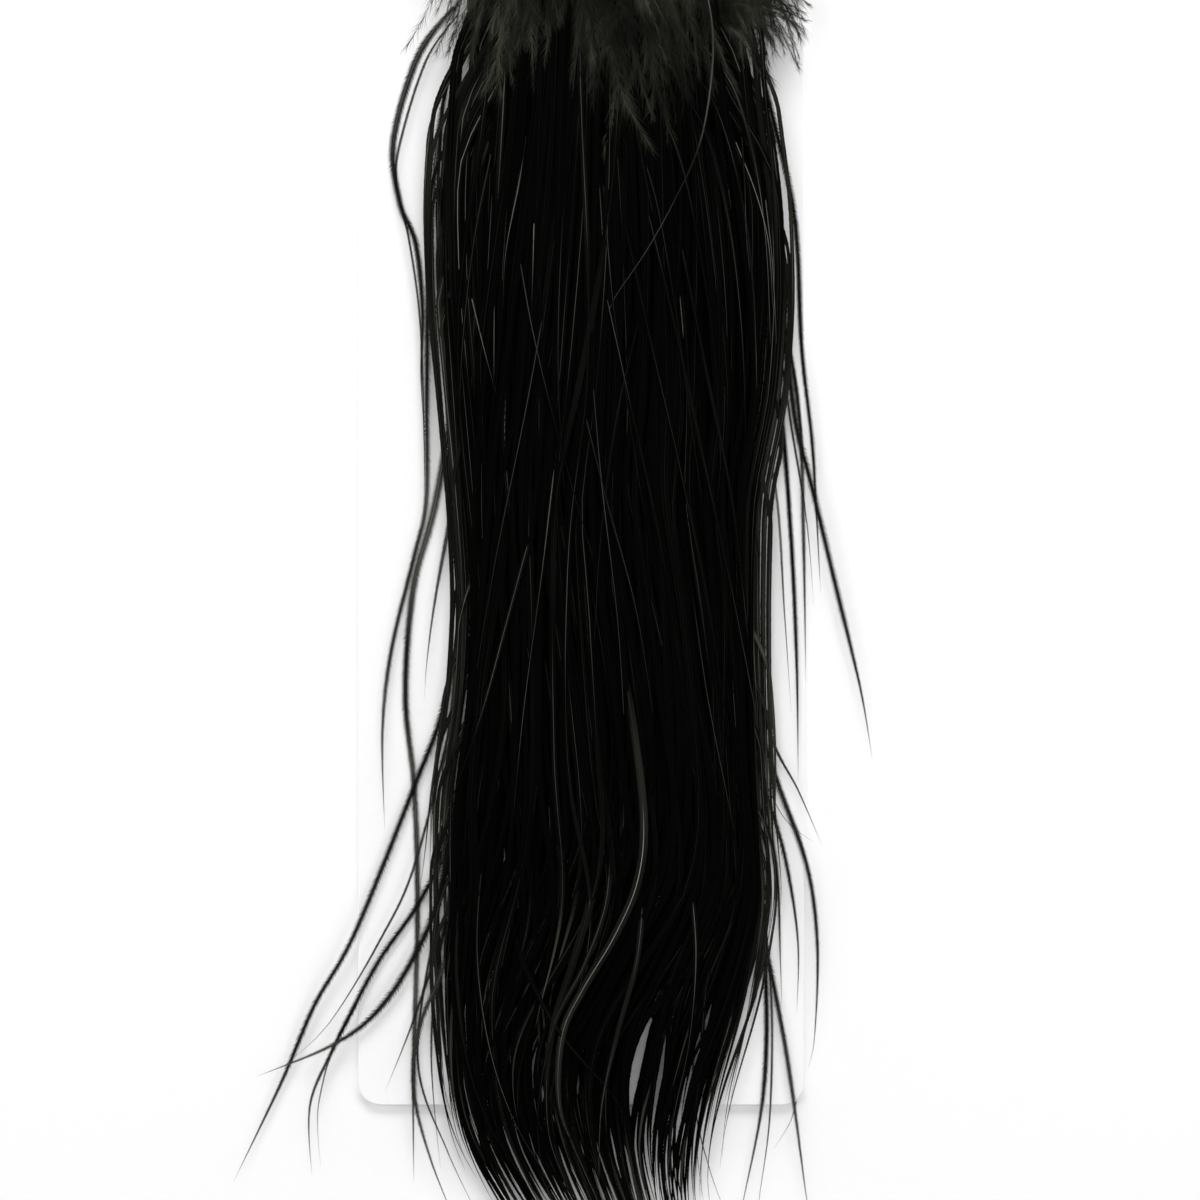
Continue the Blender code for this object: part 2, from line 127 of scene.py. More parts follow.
# Each feather drifts off its lane, waves, swings, lifts, splays and rolls in its own way
DRIFT_PIVOT = 0.6
DRIFT_FADE = 4.0
WAVE = (0.3, 1.0)
WAVE_SHARE = 0.3
WAVE_TURNS = (0.6, 2.0)
SWING_SPREAD = 0.8
SWING_BIAS = 0.6
SWING_SHIFT = 9.0
SWING_FREE_AT = 0.25
LAYER_LIFT = (0.05, 0.9)
TIP_SPLAY = 1.6
TIP_SPLAY_POWER = 6
LANE_ROLL = 0.5
LAYER_ROLL = 0.28

# No feather reaches lower than this above the floor
LOWEST_HEIGHT = 0.3

# Places along a curve: how far apart, between two chosen points, and the fewest steps
CURVE_STEP = 1.5
CURVE_PLACES = 24
FEWEST_STEPS = 4

# Material slots of the feather meshes
FEATHER_SLOT = 0
QUILL_SLOT = 1
SINGLE_SLOT = 2

# Hackle vane: its width, its taper from skin to point, its twist and arch, and its ragged barbs
HACKLE_WIDTH = (1.4, 2.3)
ROOT_WIDTH_SHARE = 0.5
WIDENING_SHARE = 0.12
VANE_TAPER = 0.4
POINT_LENGTH = 34.0
VANE_SHARE = 0.92
TWIST = (0.05, 0.3)
TWIST_TURNS = (0.5, 1.6)
VANE_ARCH = (0.05, 0.4)
INNER_ARCH = 0.4
RAGGED = (0.88, 1.1)
BARB_SWEEP = 1.1
SWEEP_SPREAD = (0.8, 1.2)
LEAST_BARB_GAP = 0.05

# Texture map of a vane: millimetres in a unit along it, and how many units apart maps may start
MAP_LENGTH = 10.0
MAP_SHIFT = 10.0

# Quill: its radius, how much it thins, its flat underside, and how many places share a ring
QUILL_RADIUS = 0.15
QUILL_TAPER = 0.9
QUILL_BELOW = 0.4
QUILL_STRIDE = 5
QUILL_FEWEST_RINGS = 6

# Towards its tip a hackle has closer barbs, and paler, browner ones that are painted light showing
# through them
TIP_BARB = 1.0
TIP_RUN = 60.0
TIP_PALENESS = 0.9
TIP_PALE_SHARE = 0.16

# Stray feathers: three levels just above the card, and each one's level, width and line
STRAY_LEVELS = (1.9, 2.65, 3.4)
STRAY_HALF_HEIGHT = 0.21
LEFT_STRAYS = (
    (0, 1.7, ((-28.5, 96), (-36.5, 85), (-42, 66), (-40.5, 52), (-37, 43), (-35.5, 28), (-35.8, 14),
        (-35.3, 2.5))),
    (1, 1.7, ((-28.5, 84), (-31.5, 70), (-34, 41), (-34.5, 8), (-34.6, -14.5), (-37.3, -27), (-42.4, -48),
        (-44.4, -66), (-43.9, -88))),
    (0, 1.8, ((-23, 56.5), (-27, 20), (-32.5, -14.5), (-37.5, -34), (-39.3, -58), (-37.3, -79.5),
        (-36.6, -107), (-37.5, -142), (-37.5, -167.4))),
    (1, 1.4, ((-20.5, 56.5), (-23, 20), (-28.5, -14), (-32.5, -36), (-34.4, -50), (-35, -58.5))),
    (1, 1.9, ((-17, 56.5), (-19.5, 10), (-24.5, -30), (-30.5, -60), (-37.3, -78.6), (-50.7, -111.6),
        (-59.6, -127.4), (-67.2, -145), (-77.9, -167.2))),
    (1, 1.9, ((-13, 56.5), (-15.5, 0), (-21.5, -50), (-28, -86), (-35.7, -103.6), (-45.8, -118.5),
        (-55.6, -137.5), (-60.7, -150), (-60.3, -165.4))),
    (2, 2.6, ((-19, 56.5), (-20.5, 0), (-24.5, -60), (-31, -100), (-37.3, -116.5), (-45.8, -129),
        (-56, -136.5), (-72.5, -143.5))),
    (1, 1.6, ((-8.5, 56.5), (-11.5, 0), (-18.5, -60), (-27, -100), (-32.8, -117.2), (-38.2, -132.8),
        (-43.7, -146.4))),
    (2, 1.8, ((-14.5, 56.5), (-16, 0), (-20.5, -60), (-29, -112), (-36, -132), (-37.3, -146.4),
        (-33.7, -161.8), (-28.1, -176.3))),
)
RIGHT_STRAYS = (
    (0, 1.5, ((38.8, 88), (42, 74.8), (47.7, 49), (49.3, 20), (51.6, -1), (52.5, -14.5), (53.6, -35))),
    (1, 1.9, ((36.5, 56.5), (43, 34), (46.2, 15), (48, 2), (51.5, -11.5), (57, -34), (62.5, -56.5),
        (65.2, -72.3))),
    (0, 1.3, ((34, 56.5), (41.5, 40), (46.2, 22), (49, 3), (49.8, -22), (50.3, -55.1))),
    (0, 1.4, ((30.5, 56.5), (39, 36), (44.2, 10), (46.8, -20), (48.2, -50), (48.6, -77.5))),
    (1, 1.7, ((30, 56.5), (33, 0), (36.5, -40), (42, -66), (48.6, -79.5), (53.8, -91.5))),
    (0, 1.7, ((27, 56.5), (31, 0), (36, -50), (43.5, -76), (50.5, -96), (52.9, -114), (52.3, -134),
        (50.9, -141.5))),
    (2, 1.6, ((27, 56.5), (30, 0), (35, -50), (41, -78), (45.5, -94), (48.4, -112.5), (48.2, -129))),
    (0, 1.5, ((22.5, 56.5), (27, 0), (32.5, -50), (38.5, -78), (43.5, -95), (44.6, -117.6),
        (44.9, -127.5))),
    (1, 1.8, ((24, 56.5), (27, 0), (32.5, -60), (38.5, -100), (43.5, -125), (46.6, -142.4), (50.4, -170),
        (51.6, -176.3))),
    (0, 1.7, ((18, 56.5), (22.5, 0), (29.5, -60), (39, -100), (41.4, -123.4), (40.8, -147.3),
        (36.6, -170.3), (35, -176.3))),
)
TOP_STRAY = (
    (26, 103, 17.9), (28.8, 89.5, 17.8), (28.6, 77, 17.1), (26, 63, 15), (20, 50, 12.9), (14, 39.5, 12.2),
    (8, 30.8, 12.1), (6.2, 27, 12.1),
)
TOP_STRAY_SEED = 23
TOP_STRAY_WIDTH = 0.55
TOP_STRAY_ROLL = 0.1
# High tone paints the top stray pale, a painted highlight
TOP_STRAY_TONE = 0.9
TOP_STRAY_QUILL = 0.195
STRAY_SEEDS = {"left": 21, "right": 22}
STRAY_BARB = 0.42
STRAY_VANE_SHARE = 0.22
STRAY_WIDTH_SHARE = 1.4
STRAY_ROLL = 0.15

# Feathers on top of the mass, their paleness a painted highlight: width, paleness and line. Their roots
# sink in
ACCENT_SEED = 31
ACCENT_LIFT = 0.15
ACCENT_ROLL = 0.2
ACCENT_SINK = 2.6
ACCENT_SINK_RUN = 16.0
ACCENTS = (
    (0.9, 0.95, ((34.4, 64.7), (38.5, 54), (41.5, 42.4), (42.5, 28))),
    (1.1, 0.8, ((13.2, 56), (20.5, 25), (26.6, -3.3), (33.5, -35), (38.8, -62))),
    (1.1, 0.75, ((9, 50), (15.5, 20), (22, -8), (28.5, -40), (33, -70))),
    (1.2, 0.8, ((-9.2, -15), (-16.5, -42), (-22.5, -63.6), (-31.5, -89))),
    (1, 0.9, ((-24.2, 30), (-21.5, 19), (-18.5, 8))),
    (1.3, 0.95, ((-12.1, 66), (-13.6, 55.8), (-16.6, 40), (-17.2, 28))),
    (1.3, 0.97, ((-9.8, 57), (-10.3, 47.5), (-10.6, 36), (-10.9, 27))),
    (0.9, 0.92, ((35.7, 66), (36.3, 54.7), (36.6, 44), (37.4, 36))),
    (0.9, 0.9, ((41, 52), (42.4, 38), (43.3, 20))),
    (2.4, 0.99, ((8.5, -48), (10.7, -59.1), (13.8, -83.5), (12.7, -98.4), (7.6, -110.9), (0.2, -123.4),
        (-4.2, -133.3), (-4.9, -148), (-1.3, -159.1), (5, -174))),
    (2, 0.9, ((3.5, -92), (2, -103.8), (-2, -118), (-5.8, -130), (-7.5, -142), (-7, -156), (-3, -168))),
    (1.6, 0.85, ((6.5, -90), (5.5, -104), (0.5, -118), (-6, -131), (-9.5, -150), (-8.5, -166))),
    (1.2, 0.6, ((-16, -105), (-12.3, -118.3), (-4.2, -133.3), (7.6, -147.3), (11, -156))),
    (1, 0.85, ((2, 20), (4.5, -10), (8, -40), (9.5, -62))),
    (1, 0.8, ((21, 48), (27.5, 15), (33.5, -15), (37, -45))),
    (1, 0.85, ((-5, 0), (-8.5, -30), (-12.5, -60), (-15, -85))),
    (1.4, 0.9, ((14, -98), (12.5, -116), (8, -133), (4.5, -150), (4, -168))),
    (1, 0.86, ((22, 84), (29.5, 73), (35, 55), (38, 34), (39, 10))),
    (1, 0.8, ((19, 80), (27, 68), (32.5, 48), (35.5, 24), (36.5, 0))),
    (0.9, 0.9, ((25.5, 88), (33.5, 77), (38.5, 60), (41, 42), (42, 20))),
    (0.9, 0.7, ((15, 76), (21.5, 62), (26, 42), (29.5, 18), (31, -8))),
    (0.9, 0.8, ((11.5, 68), (16.5, 52), (20.5, 30), (24, 5), (27.5, -20))),
    (0.9, 0.7, ((-20, 62), (-24, 40), (-26.5, 15), (-27, -12))),
    (0.9, 0.75, ((-3, 60), (-4.5, 38), (-5, 12), (-3.5, -15))),
    (0.8, 0.8, ((5, 55), (7, 30), (10.5, 5), (14, -18))),
    (1, 0.8, ((-22, -95), (-23, -115), (-20.5, -135), (-15, -152), (-6, -168))),
    (1, 0.85, ((-27, -100), (-27.5, -120), (-25, -140), (-19, -156), (-10, -170))),
    (1.4, 0.85, ((24, -96), (25.5, -115), (24, -135), (20.5, -152), (19, -168))),
    (0.8, 0.74, ((-15, 48), (-10.5, 22), (-3, -8), (3.5, -30))),
    (0.8, 0.72, ((-1, 12), (5.5, -14), (12, -38), (16, -62))),
    (0.8, 0.74, ((4, 38), (11, 6), (17.5, -24), (22, -52))),
    (0.8, 0.7, ((14, 30), (8, 4), (4.5, -22), (3, -46))),
    (0.8, 0.72, ((-7, 34), (-12, 6), (-18.5, -26), (-23, -52))),
    (0.8, 0.74, ((24, -30), (28, -58), (34, -88))),
)

# Strands along the two sides of the mass: where they start, how long they are, how far out of
# the mass they lie, how high, how wide, how many a side and in which material slot
SIDE_BUNDLES = named(
    "top length out height width count slot",
    ((84, 122), (150, 262), (-10, -1.6), (4, 9), (1.2, 1.9), 30, FEATHER_SLOT),
    ((50, 112), (110, 250), (-2.6, 1.6), (2.6, 6), (0.8, 1.3), 17, SINGLE_SLOT),
    ((-50, 30), (60, 130), (-2, 4), (2.6, 5.5), (0.8, 1.3), 15, SINGLE_SLOT),
    ((-90, -60), (70, 110), (-3, 3.5), (2.6, 5), (0.7, 1.2), 12, SINGLE_SLOT),
)
SIDE_PLACES = 70
SIDE_INSET = 11.0
SIDE_INSET_RUN = 34.0
LEFT_TUCK = 1.3
LOWEST_TIP = -184.0
LOWEST_TIP_SCATTER = 14.0
SIDE_WAVE = (0.2, 1.3)
SIDE_WAVE_TURNS = (0.3, 1.0)
SIDE_SPLAY = (-0.5, 3.0)
SIDE_SPLAY_POWER = 4
SIDE_SINK = 0.35
SIDE_LOWEST = 2.2
EDGE_SEED = 7
EDGE_BARB = 1.3
EDGE_VANE_SHARE = 0.92
# High tones give edge and loose strands and strays their pale colours, painted light on them
EDGE_TONE = (0.62, 1.0)
EDGE_ROLL = 0.3
EDGE_QUILL = 0.12
LOOSE_ROLL = 0.2

# Thin loose strands on lines of their own: height above the floor, width and line
LOOSE_STRANDS = (
    (3, 1, ((-27.5, 94), (-34.5, 84), (-40.3, 66), (-41.3, 56), (-38.5, 44), (-36, 26), (-35.2, 5),
        (-34.8, -20))),
    (3.2, 1.1, ((-28, -60), (-37, -95.5), (-45, -113), (-56, -131), (-65, -140))),
    (3, 1, ((-50, -127), (-55.6, -137.5), (-58.5, -148.4), (-58.9, -155.1), (-58.3, -163.4))),
    (2.8, 1.2, ((-27, -90), (-31.5, -115), (-33.5, -138), (-31.5, -164))),
    (2.8, 1.1, ((-26, -80), (-33, -112), (-36.5, -140), (-30, -160), (-22, -177))),
    (3, 1, ((38, -70), (45, -85), (51.8, -90.8))),
    (2.6, 1.1, ((33, -80), (40.5, -108), (42.6, -127.5), (42.2, -152.4), (40, -170.3), (39, -178))),
    (1.9, 0.9, ((48.2, -149), (46.7, -154), (43.1, -159.8))),
    (2.6, 1, ((25, -130), (25.5, -150), (29, -165), (33.5, -177))),
    (3, 1.1, ((31, -112), (30, -135), (26, -156), (27.5, -172))),
    (3.4, 1.1, ((36, 40), (43.5, 22), (47.3, 0), (50.5, -20), (52, -38))),
    (3, 1, ((38, 10), (43.5, -12), (45.5, -40), (47, -62))),
)

# The CAD skin that the feathers grow from: a rounded oblong on the upper part of the card. Roots
# keep within a share of its half width
SKIN_CENTRE = (5.0, 97.0)
SKIN_HALF_WIDTH = 31.0
SKIN_HALF_LENGTH = 40.0
SKIN_SQUARENESS = 3.2
SKIN_CORNER = 0.98

# Downy feathers over the skin: where their tips lie, and rows from the bottom up with their CAD tufts
DOWN_TIPS = (
    (-35.5, 90), (-31, 80), (-24, 75), (-12, 76), (0, 73), (5, 68), (12, 62), (22, 62), (27, 72),
    (36, 80), (44, 79), (51, 88),
)
DOWN_ROOTS = (-22.0, 33.0)
DOWN_REACH = (-35.0, 51.0)
DOWN_SHORTEST = 9.0
SKIN_MARGIN = 1.5
DOWN_SEED = 40
DOWN_TONE_POWER = 1.3
DOWN_ROWS = named(
    "above length level count dark tufts",
    (0, (26, 42), 12.4, 68, 0.75, (1, 6)),
    (14, (22, 36), 14, 78, 0.9, (6, 10)),
    (27, (20, 32), 15.4, 84, 1, (0, 0)),
    (44, (10, 26), 16.2, 70, 0.8, (0, 0)),
)

# Line of a downy feather: scatter of its ends, its fan and bow, and its rise, arch and fall
DOWN_PLACES = 24
DOWN_TIP_SCATTER = 1.3
DOWN_TIP_SHIFT = (-3.0, 9.0)
DOWN_ROOT_SCATTER = 2.0
DOWN_FAN_LOSS = 0.6
DOWN_BOW = 2.2
DOWN_SPLAY = 1.6
DOWN_SPLAY_POWER = 3
DOWN_DOME = 0.42
DOWN_DOME_POWER = 3
DOWN_LEVEL_SPREAD = (-1.0, 0.6)
DOWN_ARCH = (0.0, 1.0)
DOWN_TIP_DROP = 1.2
DOWN_RISE_SHARE = 0.3
DOWN_HIGHEST = 17.3

# Its barbs: how many a side, where, how long, at what angle in degrees, and how they bend
DOWN_STEP = 1.0
DOWN_ROLL = 0.35
DOWN_BARBS = 108
DOWN_BARB_SPAN = (0.02, 0.97)
DOWN_BARB_LENGTH = 7.5
DOWN_BARB_SHORTENING = 0.55
DOWN_BARB_LENGTHS = (0.4, 1.15)
DOWN_BARB_ANGLE = 46.0
DOWN_BARB_CLOSING = 34.0
DOWN_BARB_SPREAD = 14.0
DOWN_BARB_LIFT = (0.04, 0.22)
DOWN_BARB_POINTS = 3
DOWN_BARB_WIDTH = 0.08
DOWN_BARB_TAPER = 0.85
DOWN_BARB_BEND = 0.75
DOWN_BARB_CURL = 0.25
DOWN_BARB_SAG = 0.125
DOWN_QUILL = 0.05
DOWN_QUILL_TONE = 0.5

# Keeps an upright barb from being divided by zero
TINY = 1e-9

# Down that flares out at the upper right: boxes across the card for its roots and tips, their
# heights, and how low tips are tucked in
FLARE = {"count": 96, "root": (22, 34, 92, 132), "tip": (37, 51.5, 79, 112),
         "root_height": (4, 8), "tip_height": (4, 11), "shortest": 4,
         "tuck": 4.5, "tuck_below": 84, "tuck_run": 6, "bow": (1.5, 1.5, 3)}
FLARE_ROW = 2
FLARE_BARB_LENGTH = 4.5

# Fine bare quills that stand out from the down
HAIRS = (
    ((-12.5, 99, 17), (-13.6, 92.6, 17.7), (-14.1, 88, 17)),
    ((-2.8, 101, 17), (-3.6, 95.5, 17.8), (-4.6, 90.5, 17.2)),
    ((12.5, 104, 17), (15, 97, 17.9), (19.3, 88.5, 17.2)),
    ((27, 118, 16.5), (33, 108, 17), (41, 99, 15.5)),
)
HAIR_RADIUS = 0.1
HAIR_STEP = 0.8
# High tone gives the hairs the quill's pale colour, painted highlights
HAIR_TONE = 0.95

# Patches of painted light, highlights along hackles and shade between down tufts: how far apart two
# feathers read the noise, its detail, middle range and least
PATCH_SHIFT = 40.0
PATCH_DETAIL = 1.0
PATCH_RANGE = (0.42, 0.66, 0.06)
DOWN_SHADE_PATCH_RANGE = (0.38, 0.62, 0.1)

# Vane and quill: barb lines and their slant, scale of the patches, and powers that keep most dark, so
# that only the palest feathers take painted highlights
BARB_LINES = 150.0
BARB_SLANT = 0.12
VANE_PATCHES = 26.0
VANE_HIGHLIGHT_POWER = 7.0
VANE_EDGE_POWER = 3.0
QUILL_PATCHES = 22.0
QUILL_HIGHLIGHT_POWER = 6.0

# Dyed vanes: dark colour, pale colour of painted highlights, edge colour of painted light. Packed
# feathers get a darker copy as painted shade, loose single feathers a greyer copy as painted light
DENSE_VANE_SHADED = ((0.0008, 0.0011, 0.0008), (0.019, 0.019, 0.016), (0.006, 0.006, 0.0049))
SINGLE_VANE_LIT = ((0.007, 0.0072, 0.006), (0.06, 0.059, 0.048), (0.042, 0.0415, 0.0335))
# Colour towards which hackle tips are painted paler: painted light showing through their thin barbs
TIP_COLOUR = (0.11, 0.105, 0.085)

# Looks: two colours, a noise's scale and detail, roughness, shine, and a bump's strength and depth
VANE_LOOK = {"rough": 0.42, "shine": 0.006, "bump": (0.35, 0.08)}
# The quill's pale colour is a painted highlight, taken only by the palest feathers
QUILL_LOOK = {"colours": ((0.0008, 0.0009, 0.0008), (0.33, 0.325, 0.295)),
              "noise": (900.0, 3.0), "rough": 0.32, "shine": 0.03, "bump": (0.3, 0.05)}
# The down's noise patches paint shade between its tufts
DOWN_LOOK = {"colours": ((0.0060, 0.0062, 0.0047), (0.082, 0.083, 0.060)),
             "noise": (75.0, 4.0), "rough": 0.8, "shine": 0.04, "sheen": 0.02}
CARD_LOOK = {"colours": ((0.90, 0.90, 0.90), (0.94, 0.94, 0.935)),
             "noise": (700.0, 6.0), "rough": 0.55, "shine": 0.3, "bump": (0.15, 0.05)}
SKIN_LOOK = {"colours": ((0.012, 0.010, 0.008), (0.060, 0.045, 0.033)),
             "noise": (260.0, 8.0), "rough": 0.55, "shine": 0.5, "bump": (0.6, 0.4)}
FLOOR_LOOK = {"colours": ((0.93, 0.93, 0.93), (0.94, 0.94, 0.94)),
              "noise": (3.0, 2.0), "rough": 0.9, "shine": 0.5}

# Floor in metres: half its side, and its depth below the card
FLOOR_HALF = 3.0
FLOOR_DROP = 0.0001

# Soft boxes: place and size in metres, and power in watts. Those round the card stand low, so
# that the black stays black
LIGHTS = {
    "light_top": ((0, 1.15, 0.75), (1.2, 0.5), 16.2),
    "light_left": ((-1.15, 0.1, 0.62), (0.5, 1.4), 8.9),
    "light_right": ((1.15, 0.1, 0.62), (0.5, 1.4), 8.9),
    "light_front": ((0, -1.25, 0.7), (1.2, 0.5), 5.4),
    "light_over": ((0, 0.1, 1.7), (1.1, 1.1), 5.2),
}
LIGHT_AIM = (0.005, -0.03, 0)
WORLD_STRENGTH = 0.04

# Card edges, past which feathers droop towards the floor
CARD_HALF_WIDTH = 50.0
CARD_HALF_LENGTH = 150.0
DROOP_RUN = 22.0
DROOP_SHARE = 0.6

# Heights at which the tables are read, 1 mm apart, and how far each is smoothed both ways
GRID = np.arange(-220.0, 170.0, 1.0)
SMOOTHING = 5.0
SMOOTHING_REACH = 15


def smooth_step(share):
    """Zero up to one with soft ends."""
    share = np.clip(share, 0.0, 1.0)
    return share * share * (3.0 - 2.0 * share)


def smooth_table(rows, column=1):
    """A table by height, read on the grid and smoothed."""
    table = np.array(rows)[::-1]
    values = np.interp(GRID, table[:, 0], table[:, column])
    offsets = np.arange(-SMOOTHING_REACH, SMOOTHING_REACH + 1)
    kernel = np.exp(-0.5 * (offsets / SMOOTHING) ** 2)
    padded = np.pad(values, SMOOTHING_REACH, mode="edge")
    return np.convolve(padded, kernel / kernel.sum(), mode="valid")


LEFT_EDGE = smooth_table(MASS_OUTLINE, 1)
RIGHT_EDGE = smooth_table(MASS_OUTLINE, 2)
SWING_GRID = smooth_table(SWING)
PARTING_GRID = smooth_table(PARTING_HALF_WIDTH)
PITCH_GRID = smooth_table(LAYER_PITCH)


def field_point(lane, height, layer_index, lift, swing_scale, swing_shift):
    """Places of a feather in the mass: lane 0 to 1 across, height up the card, lift in its layer."""
    layer = LAYERS[layer_index]
    fan = smooth_step((FAN_START - height) / (FAN_START - FAN_END))
    spread = layer["spread"] + (1.0 - layer["spread"]) * fan
    across = 0.5 + layer["slant"] * (1.0 - fan) + (lane - 0.5) * spread
    swing = swing_scale * np.interp(height + swing_shift, GRID, SWING_GRID)
    across = across + 4.0 * swing * across * (1.0 - across)
    left = np.interp(height, GRID, LEFT_EDGE)
    right = np.interp(height, GRID, RIGHT_EDGE)
    side = np.where(lane > PARTING_AT, 1.0, -1.0)
    fade = np.exp(-np.abs(lane - PARTING_AT) / PARTING_REACH)
    x = left + (right - left) * across + side * fade * np.interp(height, GRID, PARTING_GRID)
    floor = LAYER_BASE + (layer_index + lift) * layer_pitch(across, height)
    rise = smooth_step((layer["root"] - height) / ROOT_RISE)
    z = ROOT_HEIGHT + (floor - ROOT_HEIGHT) * rise
    return np.stack([x, height, z], axis=1)


def layer_pitch(across, height):
    """Height of one layer: highest in the middle of the mass and lower at its sides."""
    dome = DOME_EDGE + (1.0 - DOME_EDGE) * (1.0 - (2.0 * across - 1.0) ** 2)
    return np.interp(height, GRID, PITCH_GRID) * dome


def on_top(line, lift):
    """A line of places across the card, laid on top of the mass."""
    flat = curve_through([(x, y, 0.0) for x, y in line])
    left = np.interp(flat[:, 1], GRID, LEFT_EDGE)
    right = np.interp(flat[:, 1], GRID, RIGHT_EDGE)
    across = np.clip((flat[:, 0] - left) / (right - left), 0.0, 1.0)
    flat[:, 2] = LAYER_BASE + (len(LAYERS) + lift) * layer_pitch(across, flat[:, 1])
    from_root = np.linalg.norm(flat[:, :2] - flat[0, :2], axis=1)
    flat[:, 2] -= ACCENT_SINK * (1.0 - smooth_step(from_root / ACCENT_SINK_RUN))
    return flat


def drooped(path):
    """Feathers that run past the card's edge sink towards the floor."""
    past_side = np.abs(path[:, 0]) - CARD_HALF_WIDTH
    past_end = -CARD_HALF_LENGTH - path[:, 1]
    past = np.maximum(np.maximum(past_side, past_end), 0.0)
    result = path.copy()
    result[:, 2] *= 1.0 - DROOP_SHARE * smooth_step(past / DROOP_RUN)
    return result


def curve_through(points):
    """Smooth curve through given points, as evenly spaced places along it."""
    points = np.array(points, dtype=float)
    padded = np.vstack([points[:1], points, points[-1:]])
    local = np.linspace(0.0, 1.0, CURVE_PLACES, endpoint=False)[:, None]
    pieces = []
    for a, b, c, d in zip(padded, padded[1:], padded[2:], padded[3:]):
        square = local ** 2
        cube = local ** 3
        piece = (2 * cube - 3 * square + 1) * b + (cube - 2 * square + local) * (c - a) / 2
        piece = piece + (3 * square - 2 * cube) * c + (cube - square) * (d - b) / 2
        pieces.append(piece)
    dense = np.vstack(pieces + [points[-1:]])
    return resample(dense, CURVE_STEP)


def lengths_along(path):
    """Length of the path up to each of its points."""
    steps = np.linalg.norm(np.diff(path, axis=0), axis=1)
    return np.concatenate([[0.0], np.cumsum(steps)])


def read_path(path, lengths, places):
    """Points of the path at places along it."""
    return np.stack([np.interp(places, lengths, path[:, axis]) for axis in range(3)], axis=1)


def resample(path, step):
    """The same path with places a step apart."""
    lengths = lengths_along(path)
    count = max(int(lengths[-1] / step), FEWEST_STEPS)
    return read_path(path, lengths, np.linspace(0.0, lengths[-1], count + 1))


def frames_along(path, roll):
    """Tangent, side and normal vectors along a path, rolled about it."""
    tangent = np.gradient(path, axis=0)
    tangent /= np.linalg.norm(tangent, axis=1, keepdims=True)
    side = np.cross(tangent, (0.0, 0.0, 1.0))
    side /= np.linalg.norm(side, axis=1, keepdims=True)
    normal = np.cross(side, tangent)
    cosine = np.cos(roll)[:, None]
    sine = np.sin(roll)[:, None]
    return tangent, side * cosine + normal * sine, normal * cosine - side * sine


def add_object(name, data):
    item = bpy.data.objects.new(name, data)
    bpy.context.scene.collection.objects.link(item)
    return item


class Batch:
    """Collects many small pieces and makes them one mesh."""

    def __init__(self):
        self.points = []
        self.triangles = []
        self.slots = []
        self.maps = []
        self.tones = []
        self.total = 0

    def add(self, points, triangles, slot, uv, tone):
        self.points.append(points)
        self.triangles.append(triangles + self.total)
        self.slots.append(np.full(len(triangles), slot))
        self.maps.append(uv)
        self.tones.append(np.broadcast_to(tone, len(points)))
        self.total += len(points)

    def build(self, name, materials):
        points = np.concatenate(self.points) * MM
        triangles = np.concatenate(self.triangles)
        uv = np.concatenate(self.maps)[triangles.ravel()]
        mesh = bpy.data.meshes.new(name)
        mesh.vertices.add(len(points))
        mesh.vertices.foreach_set("co", points.ravel())
        mesh.loops.add(triangles.size)
        mesh.loops.foreach_set("vertex_index", triangles.ravel().astype(np.int32))
        mesh.polygons.add(len(triangles))
        mesh.polygons.foreach_set("loop_start", np.arange(0, triangles.size, 3, dtype=np.int32))
        mesh.polygons.foreach_set("material_index", np.concatenate(self.slots).astype(np.int32))
        mesh.uv_layers.new(name="UVMap")
        mesh.uv_layers[0].data.foreach_set("uv", uv.ravel().astype(np.float32))
        tone = mesh.attributes.new("tone", "FLOAT", "POINT")
        tone.data.foreach_set("value", np.concatenate(self.tones).astype(np.float32))
        mesh.update(calc_edges=True)
        mesh.validate()
        mesh.shade_smooth()
        for material in materials:
            mesh.materials.append(material)
        return add_object(name, mesh)


def hackle_profile(share, length):
    """Half width along a hackle feather: narrow at the skin, even, then a point."""
    grow = ROOT_WIDTH_SHARE + (1.0 - ROOT_WIDTH_SHARE) * smooth_step(share / WIDENING_SHARE)
    point = np.clip((1.0 - share) * length / POINT_LENGTH, 0.0, 1.0)
    return grow * point * (1.0 - VANE_TAPER * share)


def barb_places(path, barb):
    """The path with a place for each barb: wide apart near the skin, close near the tip."""
    lengths = lengths_along(path)
    turn = max(lengths[-1] - TIP_RUN, 0.0)
    first = np.arange(0.0, turn, barb)
    last = np.linspace(turn, lengths[-1], int((lengths[-1] - turn) / min(barb, TIP_BARB)) + 2)
    places = np.concatenate([first, last])
    places = places[np.concatenate([[True], np.diff(places) > LEAST_BARB_GAP])]
    return read_path(path, lengths, places), places


def add_quill(batch, path, vectors, radius, tone):
    """Three-sided quill that thins towards the feather's tip."""
    count = len(path)
    rings = max(count // QUILL_STRIDE, QUILL_FEWEST_RINGS)
    keep = np.unique(np.linspace(0, count - 1, rings).astype(int))
    path = path[keep]
    side = vectors[1][keep]
    normal = vectors[2][keep]
    rows = len(path)
    share = np.linspace(0.0, 1.0, rows)[:, None]
    thick = radius * (1.0 - QUILL_TAPER * share)
    below = normal * thick * QUILL_BELOW
    points = np.concatenate((path + normal * thick, path + side * thick - below,
                             path - side * thick - below))
    start = np.arange(rows - 1)
    triangles = []
    for first, second in ((0, 1), (1, 2), (2, 0)):
        a = start + first * rows
        b = start + second * rows
        triangles.append(np.stack([a, b, b + 1], axis=1))
        triangles.append(np.stack([a, b + 1, a + 1], axis=1))
    uv = np.tile(np.concatenate([share * rows, np.zeros_like(share)], axis=1), (3, 1))
    batch.add(points, np.concatenate(triangles), QUILL_SLOT, uv, tone)


